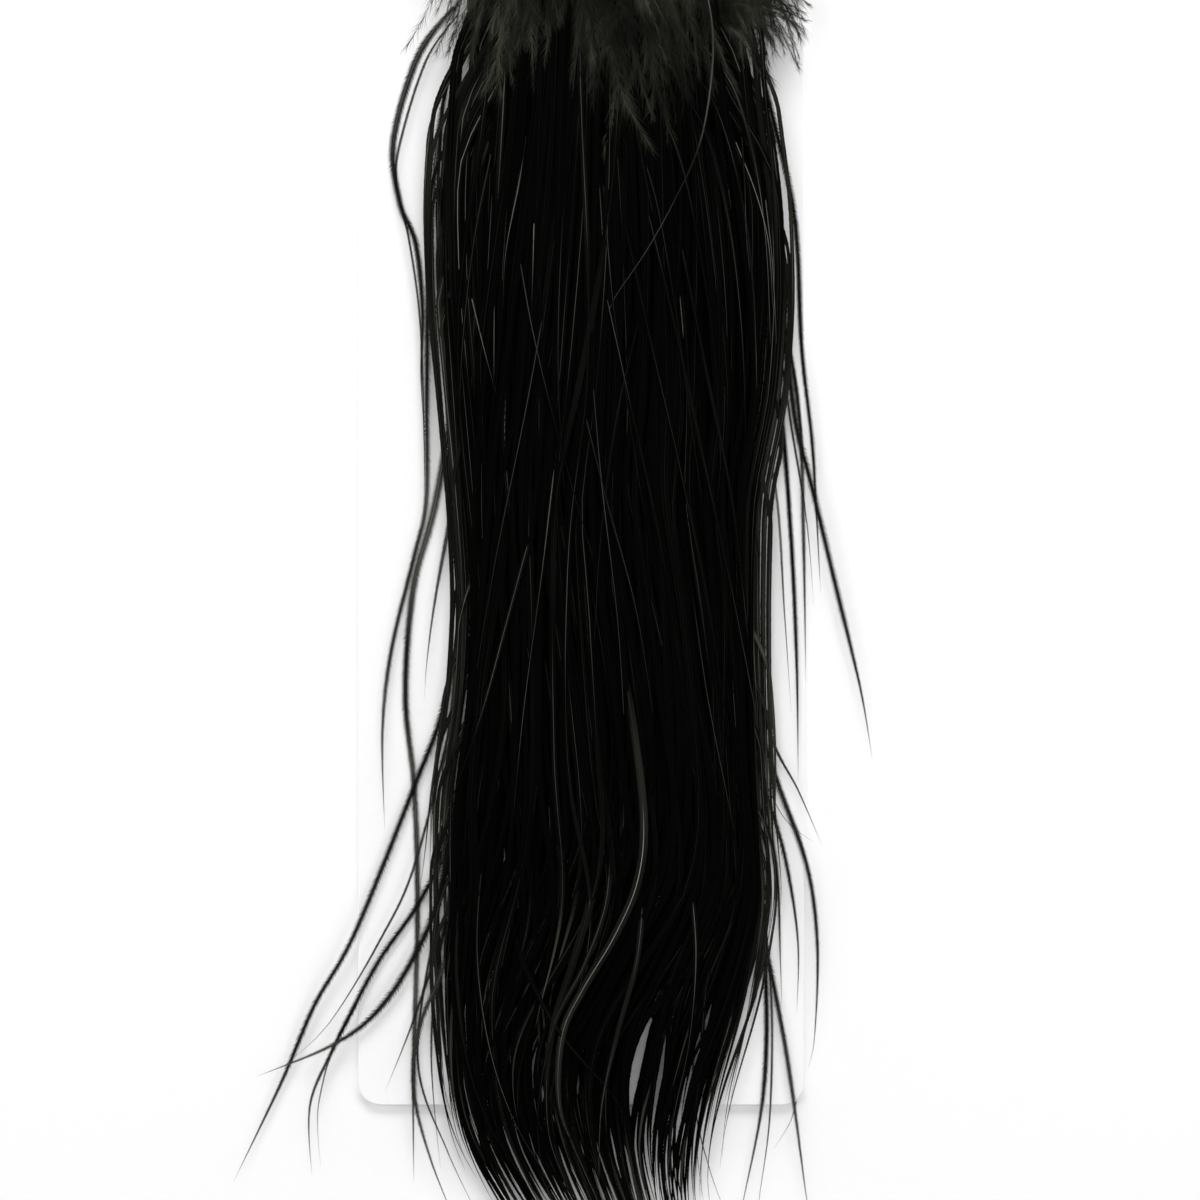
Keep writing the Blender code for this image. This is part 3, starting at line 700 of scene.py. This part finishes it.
def add_hackle(batch, rng, path, width, barb, roll_start, tone, quill=QUILL_RADIUS,
               vane_share=VANE_SHARE, vane_slot=FEATHER_SLOT):
    """One hackle feather: a vane each side of the quill, with its barbs' ends swept forward."""
    path, places = barb_places(path, barb)
    count = len(path)
    length = places[-1]
    share = places / length
    turns = rng.uniform(*TWIST_TURNS)
    roll = roll_start + rng.uniform(*TWIST) * np.sin(2 * np.pi * (turns * share + rng.random()))
    vectors = frames_along(path, roll)
    tangent, side, normal = vectors
    half = (width / 2.0 * hackle_profile(share, length))[:, None]
    arch = rng.uniform(*VANE_ARCH)
    length_uv = rng.random() * MAP_SHIFT + places / MAP_LENGTH
    columns = [path]
    across = [np.zeros(count)]
    for sign in (1.0, -1.0):
        inner = path + sign * side * half * vane_share - normal * half * arch * INNER_ARCH
        ragged = rng.uniform(*RAGGED, (count, 1))
        outer = path + sign * side * half * ragged - normal * half * arch
        sweep = BARB_SWEEP * np.minimum(half / HACKLE_WIDTH[0] * 2.0, 1.0)
        outer = outer + tangent * sweep * rng.uniform(*SWEEP_SPREAD, (count, 1))
        columns += [inner, outer]
        across += [np.full(count, sign * vane_share), np.full(count, sign)]
    points = np.concatenate(columns)
    points[:, 2] = np.maximum(points[:, 2], LOWEST_HEIGHT)
    uv = np.stack([np.tile(length_uv, len(columns)), np.concatenate(across)], axis=1)
    i = np.arange(count - 1)
    centre, inner, outer, other_inner, other_outer = (i + count * k for k in range(len(columns)))
    corners = (
        (centre, inner, inner + 1), (centre, inner + 1, centre + 1), (inner, outer, inner + 1),
        (centre, other_inner + 1, other_inner), (centre, centre + 1, other_inner + 1),
        (other_inner, other_inner + 1, other_outer),
    )
    triangles = np.concatenate([np.stack(corner, axis=1) for corner in corners])
    # Painted light through the thin tip: its tone rises towards the tip
    paler = TIP_PALENESS * rng.random() * smooth_step((share - 1.0) / TIP_PALE_SHARE + 1.0)
    batch.add(points, triangles, vane_slot, uv, np.tile(tone + paler, len(columns)))
    add_quill(batch, path, vectors, quill, tone)


def clump_centres(rng):
    """Uneven lanes that the feathers gather towards, nearly the same in each layer."""
    widths = np.random.default_rng(CLUMP_SEED).uniform(*CLUMP_WIDTHS, CLUMPS)
    edges = np.concatenate([[0.0], np.cumsum(widths) / widths.sum()])
    return edges, (edges[:-1] + edges[1:]) / 2.0 + rng.normal(0.0, CLUMP_JITTER, CLUMPS)


def wandering_lanes(rng, layer, lane, clump, height, share):
    """The lane of a feather along its length: it wanders, joins its clump and keeps its side."""
    drift = rng.normal() * layer["wander"]
    wave = rng.uniform(*WAVE) * layer["wander"] * WAVE_SHARE
    wander = drift * (DRIFT_PIVOT - share) * smooth_step((1.0 - share) * DRIFT_FADE)
    turns = rng.uniform(*WAVE_TURNS)
    wander = wander + wave * np.sin(2 * np.pi * (turns * share + rng.random()))
    pull = CLUMP_PULL * smooth_step((CLUMP_START - height) / CLUMP_RUN)
    lanes = lane + wander * (1.0 - CLUMP_CALM * pull) + (clump - lane) * pull
    low = smooth_step((CLUMP_START - height) / PARTING_RUN)
    first, last = LANE_LIMITS
    if lane > PARTING_AT:
        return np.clip(lanes, low * (PARTING_AT + PARTING_GAP), last)
    return np.clip(lanes, first, last - low * (last + PARTING_GAP - PARTING_AT))


def make_layer(layer_index, materials):
    """One shingled layer of the mass: feathers in lanes, clumped towards their tips."""
    layer = LAYERS[layer_index]
    rng = np.random.default_rng(LAYER_SEED + layer_index)
    batch = Batch()
    count = layer["feathers"]
    edges, centres = clump_centres(rng)
    for number in range(count):
        lane = LANE_START + LANE_SPAN * (number + rng.uniform(0.0, 1.0)) / count
        clump = centres[min(np.searchsorted(edges, lane) - 1, CLUMPS - 1)]
        if (clump - PARTING_AT) * (lane - PARTING_AT) < 0.0:
            clump = lane
        reach = layer["tip"] + EDGE_SHORTENING * (2.0 * lane - 1.0) ** 2
        tip = reach + TIP_SCATTER * rng.random() ** TIP_SCATTER_POWER
        height = np.linspace(layer["root"], tip, LAYER_PLACES)
        share = np.linspace(0.0, 1.0, LAYER_PLACES)
        lanes = wandering_lanes(rng, layer, lane, clump, height, share)
        free = min(abs(lane - PARTING_AT) / SWING_FREE_AT, 1.0)
        scale = 1.0 + (rng.random() - SWING_BIAS) * SWING_SPREAD * free
        shift = rng.normal() * SWING_SHIFT * free
        lift = rng.uniform(*LAYER_LIFT)
        path = drooped(field_point(lanes, height, layer_index, lift, scale, shift))
        path[:, 0] += rng.normal() * TIP_SPLAY * share ** TIP_SPLAY_POWER
        roll = (0.5 - lane) * LANE_ROLL + rng.normal() * LAYER_ROLL
        width = rng.uniform(*HACKLE_WIDTH)
        at_edge = min(lane, 1.0 - lane) < EDGE_LANES
        barb = EDGE_LANE_BARB if at_edge else layer["barb"]
        tone = MASS_TONE * rng.random() ** MASS_TONE_POWER
        add_hackle(batch, rng, path, width, barb, roll, tone)
    piece = batch.build(f"hackle_layer_{layer_index + 1}", materials)
    first, last = layer["locks"]
    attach(piece, "root")
    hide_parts(*[f"hackle_lock_{number:02d}" for number in range(first, last + 1)])


def make_accents(materials):
    """Single feathers on top of the mass, painted pale as highlights."""
    rng = np.random.default_rng(ACCENT_SEED)
    batch = Batch()
    for width, tone, line in ACCENTS:
        path = drooped(on_top(line, ACCENT_LIFT))
        add_hackle(batch, rng, path, width, STRAY_BARB, rng.normal() * ACCENT_ROLL, tone)
    piece = batch.build("hackle_top_feathers", materials)
    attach(piece, "root")


def side_strand(rng, side, bundle):
    """A strand that leaves the skin inside the mass and then keeps along its edge."""
    edge = LEFT_EDGE if side < 0.0 else RIGHT_EDGE
    top = rng.uniform(*bundle["top"])
    reach = top - rng.uniform(*bundle["length"])
    tip = max(reach, LOWEST_TIP + rng.uniform(0.0, LOWEST_TIP_SCATTER))
    height = np.linspace(top, tip, SIDE_PLACES)
    share = np.linspace(0.0, 1.0, SIDE_PLACES)
    turns = rng.uniform(*SIDE_WAVE_TURNS)
    swing = rng.uniform(*SIDE_WAVE) * np.sin(2 * np.pi * (turns * share + rng.random()))
    inset = SIDE_INSET * (1.0 - smooth_step((top - height) / SIDE_INSET_RUN))
    out = rng.uniform(*bundle["out"]) - (LEFT_TUCK if side < 0.0 else 0.0)
    x = np.interp(height, GRID, edge) + side * (out - inset + swing)
    x = x + side * rng.uniform(*SIDE_SPLAY) * share ** SIDE_SPLAY_POWER
    z = rng.uniform(*bundle["height"]) * (1.0 - SIDE_SINK * share)
    return drooped(np.stack([x, height, np.maximum(z, SIDE_LOWEST)], axis=1))


def make_edge_strands(materials):
    """Strands along both sides of the mass and loose ones, with slivers of card between."""
    rng = np.random.default_rng(EDGE_SEED)
    batch = Batch()
    for side in (-1.0, 1.0):
        for bundle in SIDE_BUNDLES:
            for _ in range(bundle["count"]):
                path = side_strand(rng, side, bundle)
                width = rng.uniform(*bundle["width"])
                add_hackle(batch, rng, path, width, EDGE_BARB, rng.normal() * EDGE_ROLL,
                           rng.uniform(*EDGE_TONE), EDGE_QUILL, EDGE_VANE_SHARE, bundle["slot"])
    for height, width, line in LOOSE_STRANDS:
        path = drooped(curve_through([(x, y, height) for x, y in line]))
        add_hackle(batch, rng, path, width, STRAY_BARB, rng.normal() * LOOSE_ROLL,
                   rng.uniform(*EDGE_TONE), EDGE_QUILL, STRAY_VANE_SHARE, SINGLE_SLOT)
    piece = batch.build("edge_strands", materials)
    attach(piece, "root")


def make_strays(side, strays, materials):
    """The single feathers that leave the mass on one side, on the lines of their CAD solids."""
    rng = np.random.default_rng(STRAY_SEEDS[side])
    batch = Batch()
    for level, width, line in strays:
        height = STRAY_LEVELS[level] + STRAY_HALF_HEIGHT
        path = drooped(curve_through([(x, y, height) for x, y in line]))
        add_hackle(batch, rng, path, width * STRAY_WIDTH_SHARE, STRAY_BARB,
                   rng.normal() * STRAY_ROLL, rng.uniform(*EDGE_TONE), QUILL_RADIUS,
                   STRAY_VANE_SHARE)
    piece = batch.build(f"stray_feathers_{side}", materials)
    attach(piece, "root")
    nodes = [f"stray_feather_{side}_{number:02d}" for number in range(1, len(strays) + 1)]
    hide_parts(*nodes)


def make_top_stray(materials):
    """The thin feather that lies across the top of the mass."""
    rng = np.random.default_rng(TOP_STRAY_SEED)
    batch = Batch()
    path = curve_through(TOP_STRAY)
    add_hackle(batch, rng, path, TOP_STRAY_WIDTH, STRAY_BARB, TOP_STRAY_ROLL, TOP_STRAY_TONE,
               TOP_STRAY_QUILL)
    piece = batch.build("stray_feather_over", materials)
    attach(piece, "root")
    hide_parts("stray_feather_top")


def add_barbs(batch, rng, starts, heads, lengths, bend, tone):
    """Soft barbs as slim ribbons: each leaves its start along its head and curls over."""
    count = len(starts)
    share = np.linspace(0.0, 1.0, DOWN_BARB_POINTS)
    curl = rng.normal(0.0, DOWN_BARB_CURL, count)
    rows = []
    for value in share:
        head = heads + bend * value
        head[:, 0] += curl * value
        head /= np.linalg.norm(head, axis=1, keepdims=True)
        place = starts + head * (lengths * value)[:, None]
        place[:, 2] -= DOWN_BARB_SAG * value ** 2 * lengths
        place[:, 2] = np.maximum(place[:, 2], LOWEST_HEIGHT)
        across = np.cross(head, (0.0, 0.0, 1.0))
        across /= np.linalg.norm(across, axis=1, keepdims=True) + TINY
        half = DOWN_BARB_WIDTH / 2.0 * (1.0 - DOWN_BARB_TAPER * value)
        rows.append((place + across * half, place - across * half))
    points = np.stack([np.stack(row, axis=1) for row in rows], axis=1).reshape(-1, 3)
    base = np.arange(count)[:, None] * (2 * DOWN_BARB_POINTS)
    triangles = []
    for row in range(DOWN_BARB_POINTS - 1):
        a = base + 2 * row
        triangles.append(np.concatenate([a, a + 1, a + 3], axis=1))
        triangles.append(np.concatenate([a, a + 3, a + 2], axis=1))
    uv_rows = np.repeat(share, 2)
    uv = np.stack([np.tile(uv_rows, count), np.tile([0.0, 1.0], count * DOWN_BARB_POINTS)], axis=1)
    batch.add(points, np.concatenate(triangles), FEATHER_SLOT, uv, tone)


def add_down_feather(batch, rng, path, barb_length, tone):
    """A webby feather: soft barbs on both sides of a fine quill, drawn together to a point."""
    path = resample(path, DOWN_STEP)
    vectors = frames_along(path, np.full(len(path), rng.normal() * DOWN_ROLL))
    tangent, side, normal = vectors
    for sign in (1.0, -1.0):
        at = np.sort(rng.uniform(*DOWN_BARB_SPAN, DOWN_BARBS))
        index = at * (len(path) - 1)
        starts = read_path(path, np.arange(len(path)), index)
        near = index.astype(int)
        spread = rng.normal(0.0, DOWN_BARB_SPREAD, DOWN_BARBS)
        angle = np.radians(DOWN_BARB_ANGLE - DOWN_BARB_CLOSING * at + spread)[:, None]
        heads = tangent[near] * np.cos(angle) + sign * side[near] * np.sin(angle)
        heads = heads + normal[near] * rng.normal(*DOWN_BARB_LIFT, DOWN_BARBS)[:, None]
        shorter = 1.0 - DOWN_BARB_SHORTENING * at
        lengths = barb_length * shorter * rng.uniform(*DOWN_BARB_LENGTHS, DOWN_BARBS)
        add_barbs(batch, rng, starts, heads, lengths, tangent[near] * DOWN_BARB_BEND, tone)
    add_quill(batch, path, vectors, DOWN_QUILL, tone * DOWN_QUILL_TONE)


def skin_end(x):
    """Height up the card at which the skin ends, at a place across the card."""
    share = min(abs(x - SKIN_CENTRE[0]) / SKIN_HALF_WIDTH, SKIN_CORNER)
    reach = (1.0 - share ** SKIN_SQUARENESS) ** (1.0 / SKIN_SQUARENESS)
    return SKIN_CENTRE[1] + SKIN_HALF_LENGTH * reach - SKIN_MARGIN


def down_path(rng, row, across):
    """Line of a downy feather over the curved top of the mass, fanning out at the sides."""
    table = np.array(DOWN_TIPS)
    left, right = DOWN_REACH
    tip_x = left + (right - left) * across + rng.normal() * DOWN_TIP_SCATTER
    tip_y = np.interp(tip_x, table[:, 0], table[:, 1]) + row["above"]
    tip_y = tip_y + rng.uniform(*DOWN_TIP_SHIFT)
    left, right = DOWN_ROOTS
    root_x = left + (right - left) * across + rng.normal() * DOWN_ROOT_SCATTER
    last_root = skin_end(root_x)
    tip_y = min(tip_y, last_root - DOWN_SHORTEST)
    root_y = min(tip_y + rng.uniform(*row["length"]), last_root)
    share = np.linspace(0.0, 1.0, DOWN_PLACES)
    shown = (root_y - tip_y) / row["length"][1]
    x = root_x + (tip_x - root_x) * share * (1.0 - (1.0 - shown) * DOWN_FAN_LOSS)
    x = x + rng.normal() * DOWN_BOW * np.sin(np.pi * share)
    x = x + rng.normal() * DOWN_SPLAY * share ** DOWN_SPLAY_POWER
    y = root_y + (tip_y - root_y) * share
    dome = 1.0 - DOWN_DOME * np.abs(2.0 * across - 1.0) ** DOWN_DOME_POWER
    level = row["level"] + rng.uniform(*DOWN_LEVEL_SPREAD)
    z = level * dome + np.sin(np.pi * share) * rng.uniform(*DOWN_ARCH)
    z = z - DOWN_TIP_DROP * share ** DOWN_SPLAY_POWER
    rise = smooth_step(share / DOWN_RISE_SHARE)
    z = ROOT_HEIGHT + (np.minimum(z, DOWN_HIGHEST) - ROOT_HEIGHT) * rise
    return np.stack([x, y, z], axis=1)


def random_place(rng, box, heights):
    """A place in a box across the card, at a height in a range."""
    x0, x1, y0, y1 = box
    return np.array((rng.uniform(x0, x1), rng.uniform(y0, y1), rng.uniform(*heights)))


def add_flare(batch, rng):
    """Down that flares out past the mass at the upper right."""
    for _ in range(FLARE["count"]):
        root = random_place(rng, FLARE["root"], FLARE["root_height"])
        root[1] = min(root[1], skin_end(root[0]))
        tip = random_place(rng, FLARE["tip"], FLARE["tip_height"])
        tip[1] = min(tip[1], root[1] - FLARE["shortest"])
        tip[0] -= FLARE["tuck"] * max((FLARE["tuck_below"] - tip[1]) / FLARE["tuck_run"], 0.0)
        middle = (root + tip) / 2.0 + FLARE["bow"]
        path = curve_through([root, middle, tip])
        add_down_feather(batch, rng, path, FLARE_BARB_LENGTH, rng.random())


def add_hairs(batch):
    """Fine bare quills that stand out from the down."""
    for line in HAIRS:
        path = resample(curve_through(line), HAIR_STEP)
        vectors = frames_along(path, np.zeros(len(path)))
        add_quill(batch, path, vectors, HAIR_RADIUS, HAIR_TONE)


def make_down(materials):
    """Rows of downy feathers over the skin, which flare out at the upper right."""
    for row_number, row in enumerate(DOWN_ROWS, 1):
        rng = np.random.default_rng(DOWN_SEED + row_number)
        batch = Batch()
        for number in range(row["count"]):
            across = (number + rng.uniform(0.0, 1.0)) / row["count"]
            path = down_path(rng, row, across)
            tone = row["dark"] * rng.random() ** DOWN_TONE_POWER
            add_down_feather(batch, rng, path, DOWN_BARB_LENGTH, tone)
        if row_number == FLARE_ROW:
            add_flare(batch, rng)
        if row_number == len(DOWN_ROWS):
            add_hairs(batch)
        piece = batch.build(f"down_feathers_{row_number}", materials)
        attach(piece, "root")
        tufts = [f"down_tuft_{number:02d}" for number in range(*row["tufts"])]
        if tufts:
            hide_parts(*tufts)


def new_material(name):
    material = bpy.data.materials.new(name)
    material.use_nodes = True
    tree = material.node_tree
    return material, tree, tree.nodes["Principled BSDF"]


def add_node(tree, kind, **values):
    node = tree.nodes.new(kind)
    for key, value in values.items():
        setattr(node, key, value)
    return node


def object_coordinates(tree):
    return add_node(tree, "ShaderNodeTexCoord").outputs["Object"]


def feather_tone(tree):
    """Paleness of the feather, stored in its mesh."""
    return add_node(tree, "ShaderNodeAttribute", attribute_name="tone").outputs["Fac"]


def mix_colours(tree, factor, first, second):
    """Mixes two colours, of which the first can also come from another node."""
    mix = add_node(tree, "ShaderNodeMix", data_type="RGBA")
    tree.links.new(factor, mix.inputs["Factor"])
    if isinstance(first, tuple):
        mix.inputs["A"].default_value = (*first, 1.0)
    else:
        tree.links.new(first, mix.inputs["A"])
    mix.inputs["B"].default_value = (*second, 1.0)
    return mix.outputs["Result"]


def calculate(tree, operation, first, second=None):
    node = add_node(tree, "ShaderNodeMath", operation=operation)
    for socket, value in zip(node.inputs, (first, second)):
        if value is None:
            continue
        if isinstance(value, (int, float)):
            socket.default_value = value
        else:
            tree.links.new(value, socket)
    return node.outputs["Value"]


def noise(tree, scale, detail, coordinates):
    node = add_node(tree, "ShaderNodeTexNoise")
    node.inputs["Scale"].default_value = scale
    node.inputs["Detail"].default_value = detail
    tree.links.new(coordinates, node.inputs["Vector"])
    return node.outputs["Fac"]


def add_bump(tree, shader, height, look):
    strength, depth = look["bump"]
    bump = add_node(tree, "ShaderNodeBump")
    bump.inputs["Strength"].default_value = strength
    bump.inputs["Distance"].default_value = depth * MM
    tree.links.new(height, bump.inputs["Height"])
    tree.links.new(bump.outputs["Normal"], shader.inputs["Normal"])


def set_surface(tree, shader, colour, look):
    tree.links.new(colour, shader.inputs["Base Color"])
    shader.inputs["Roughness"].default_value = look["rough"]
    shader.inputs["Specular IOR Level"].default_value = look["shine"]


def spread_out(tree, value, middle_range):
    """The value with its middle range spread from the least up to one."""
    low, high, least = middle_range
    spread = add_node(tree, "ShaderNodeMapRange")
    spread.inputs["From Min"].default_value = low
    spread.inputs["From Max"].default_value = high
    spread.inputs["To Min"].default_value = least
    tree.links.new(value, spread.inputs["Value"])
    return spread.outputs["Result"]


def own_patches(tree, tone, scale):
    """Slow patches along each feather, different from feather to feather, where its painted highlights
    come and go.
    """
    shift = add_node(tree, "ShaderNodeCombineXYZ")
    far = calculate(tree, "MULTIPLY", tone, PATCH_SHIFT)
    tree.links.new(far, shift.inputs["X"])
    tree.links.new(far, shift.inputs["Y"])
    moved = add_node(tree, "ShaderNodeVectorMath", operation="ADD")
    tree.links.new(object_coordinates(tree), moved.inputs[0])
    tree.links.new(shift.outputs["Vector"], moved.inputs[1])
    value = noise(tree, scale, PATCH_DETAIL, moved.outputs["Vector"])
    return spread_out(tree, value, PATCH_RANGE)


def vane_material(name, dark_colour, pale_colour, edge_colour):
    """Dyed vane: near-black, with slanting barb lines. Pale patches on the palest feathers are painted
    highlights, and the paler, browner edge and tip are painted light on thin barbs.
    """
    material, tree, shader = new_material(name)
    tone = feather_tone(tree)
    uv = add_node(tree, "ShaderNodeUVMap").outputs["UV"]
    split = add_node(tree, "ShaderNodeSeparateXYZ")
    tree.links.new(uv, split.inputs["Vector"])
    across = calculate(tree, "ABSOLUTE", split.outputs["Y"])
    slant = calculate(tree, "MULTIPLY", across, BARB_SLANT)
    along = calculate(tree, "SUBTRACT", split.outputs["X"], slant)
    barbs = calculate(tree, "SINE", calculate(tree, "MULTIPLY", along, BARB_LINES))
    edge = calculate(tree, "POWER", across, VANE_EDGE_POWER)
    patches = own_patches(tree, tone, VANE_PATCHES)
    palest = calculate(tree, "POWER", tone, VANE_HIGHLIGHT_POWER)
    body = mix_colours(tree, calculate(tree, "MULTIPLY", palest, patches), dark_colour, pale_colour)
    past_tip_start = calculate(tree, "SUBTRACT", tone, 1.0)
    with_tip = mix_colours(tree, past_tip_start, body, TIP_COLOUR)
    lit_edge = calculate(tree, "MULTIPLY", calculate(tree, "MULTIPLY", edge, patches), tone)
    colour = mix_colours(tree, lit_edge, with_tip, edge_colour)
    set_surface(tree, shader, colour, VANE_LOOK)
    add_bump(tree, shader, barbs, VANE_LOOK)
    return material


def quill_material():
    """Dyed quill: smoother than the vane, and paler on its palest feathers, in patches of painted
    highlight.
    """
    material, tree, shader = new_material("hackle_quill")
    tone = feather_tone(tree)
    palest = calculate(tree, "POWER", tone, QUILL_HIGHLIGHT_POWER)
    pale = calculate(tree, "MULTIPLY", palest, own_patches(tree, tone, QUILL_PATCHES))
    set_surface(tree, shader, mix_colours(tree, pale, *QUILL_LOOK["colours"]), QUILL_LOOK)
    grain = noise(tree, *QUILL_LOOK["noise"], object_coordinates(tree))
    add_bump(tree, shader, grain, QUILL_LOOK)
    return material


def down_material():
    """Downy barbs: soft, matt, very dark olive, with painted shade between tufts from a noise."""
    material, tree, shader = new_material("down_barbs")
    coordinates = object_coordinates(tree)
    patches = spread_out(tree, noise(tree, *DOWN_LOOK["noise"], coordinates), DOWN_SHADE_PATCH_RANGE)
    pale = calculate(tree, "MULTIPLY", feather_tone(tree), patches)
    set_surface(tree, shader, mix_colours(tree, pale, *DOWN_LOOK["colours"]), DOWN_LOOK)
    shader.inputs["Sheen Weight"].default_value = DOWN_LOOK["sheen"]
    return material


def grained_material(name, look):
    """Two near colours mixed by a noise, which also makes the bump where the look has one."""
    material, tree, shader = new_material(name)
    grain = noise(tree, *look["noise"], object_coordinates(tree))
    set_surface(tree, shader, mix_colours(tree, grain, *look["colours"]), look)
    if "bump" in look:
        add_bump(tree, shader, grain, look)
    return material


def card_material():
    """Coated white card with a faint fibre grain."""
    return grained_material("white_card_stock", CARD_LOOK)


def skin_material():
    """Cured, dyed hide: dark brown-black with creases and pores."""
    return grained_material("cured_hide", SKIN_LOOK)


def floor_material():
    """White studio floor."""
    return grained_material("studio_floor", FLOOR_LOOK)


def make_floor():
    mesh = bpy.data.meshes.new("floor")
    corners = [(x * FLOOR_HALF, y * FLOOR_HALF, -FLOOR_DROP)
               for x, y in ((-1, -1), (1, -1), (1, 1), (-1, 1))]
    mesh.from_pydata(corners, [], [(0, 1, 2, 3)])
    mesh.materials.append(floor_material())
    floor = add_object("floor", mesh)


def add_area_light(name, place, size, energy):
    """Soft box aimed at the middle of the hackle."""
    light = bpy.data.lights.new(name, "AREA")
    light.shape = "RECTANGLE"
    light.size = size[0]
    light.size_y = size[1]
    light.energy = energy
    item = add_object(name, light)
    item.location = place
    direction = Vector(LIGHT_AIM) - Vector(place)
    item.rotation_euler = direction.to_track_quat("-Z", "Y").to_euler()


def make_lights():
    world = bpy.data.worlds.new("studio")
    bpy.context.scene.world = world
    world.use_nodes = True
    background = world.node_tree.nodes["Background"]
    background.inputs["Color"].default_value = (1.0, 1.0, 1.0, 1.0)
    background.inputs["Strength"].default_value = WORLD_STRENGTH
    for name, (place, size, energy) in LIGHTS.items():
        add_area_light(name, place, size, energy)


def make_camera():
    """Straight down on the card, framed as the photograph is."""
    data = bpy.data.cameras.new("camera")
    data.lens = LENS
    data.sensor_width = SENSOR
    data.clip_end = CAMERA_REACH
    camera = add_object("camera", data)
    centre_x = (PHOTO_SIDE / 2.0 - ORIGIN_U) * PIXEL
    centre_y = (ORIGIN_V - PHOTO_SIDE / 2.0) * PIXEL
    distance = PHOTO_SIDE * PIXEL * LENS / SENSOR
    camera.location = (centre_x * MM, centre_y * MM, (distance + FOCUS_HEIGHT) * MM)
    bpy.context.scene.camera = camera


def dress_node(name, material):
    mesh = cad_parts[name].data
    mesh.materials.clear()
    mesh.materials.append(material)


def main():
    scene = bpy.context.scene
    scene.view_settings.view_transform = "Standard"
    scene.view_settings.look = "None"
    make_floor()
    make_lights()
    make_camera()
    dress_node("backing_card", card_material())
    dress_node("skin_patch", skin_material())
    quill = quill_material()
    hackle = (vane_material("hackle_vane_shaded", *DENSE_VANE_SHADED), quill)
    single = (vane_material("single_vane_lit", *SINGLE_VANE_LIT), quill)
    for layer_index in range(len(LAYERS)):
        make_layer(layer_index, hackle)
    make_accents(hackle)
    make_edge_strands((*hackle, single[0]))
    make_strays("left", LEFT_STRAYS, single)
    make_strays("right", RIGHT_STRAYS, single)
    make_top_stray(single)
    make_down((down_material(), quill))


main()
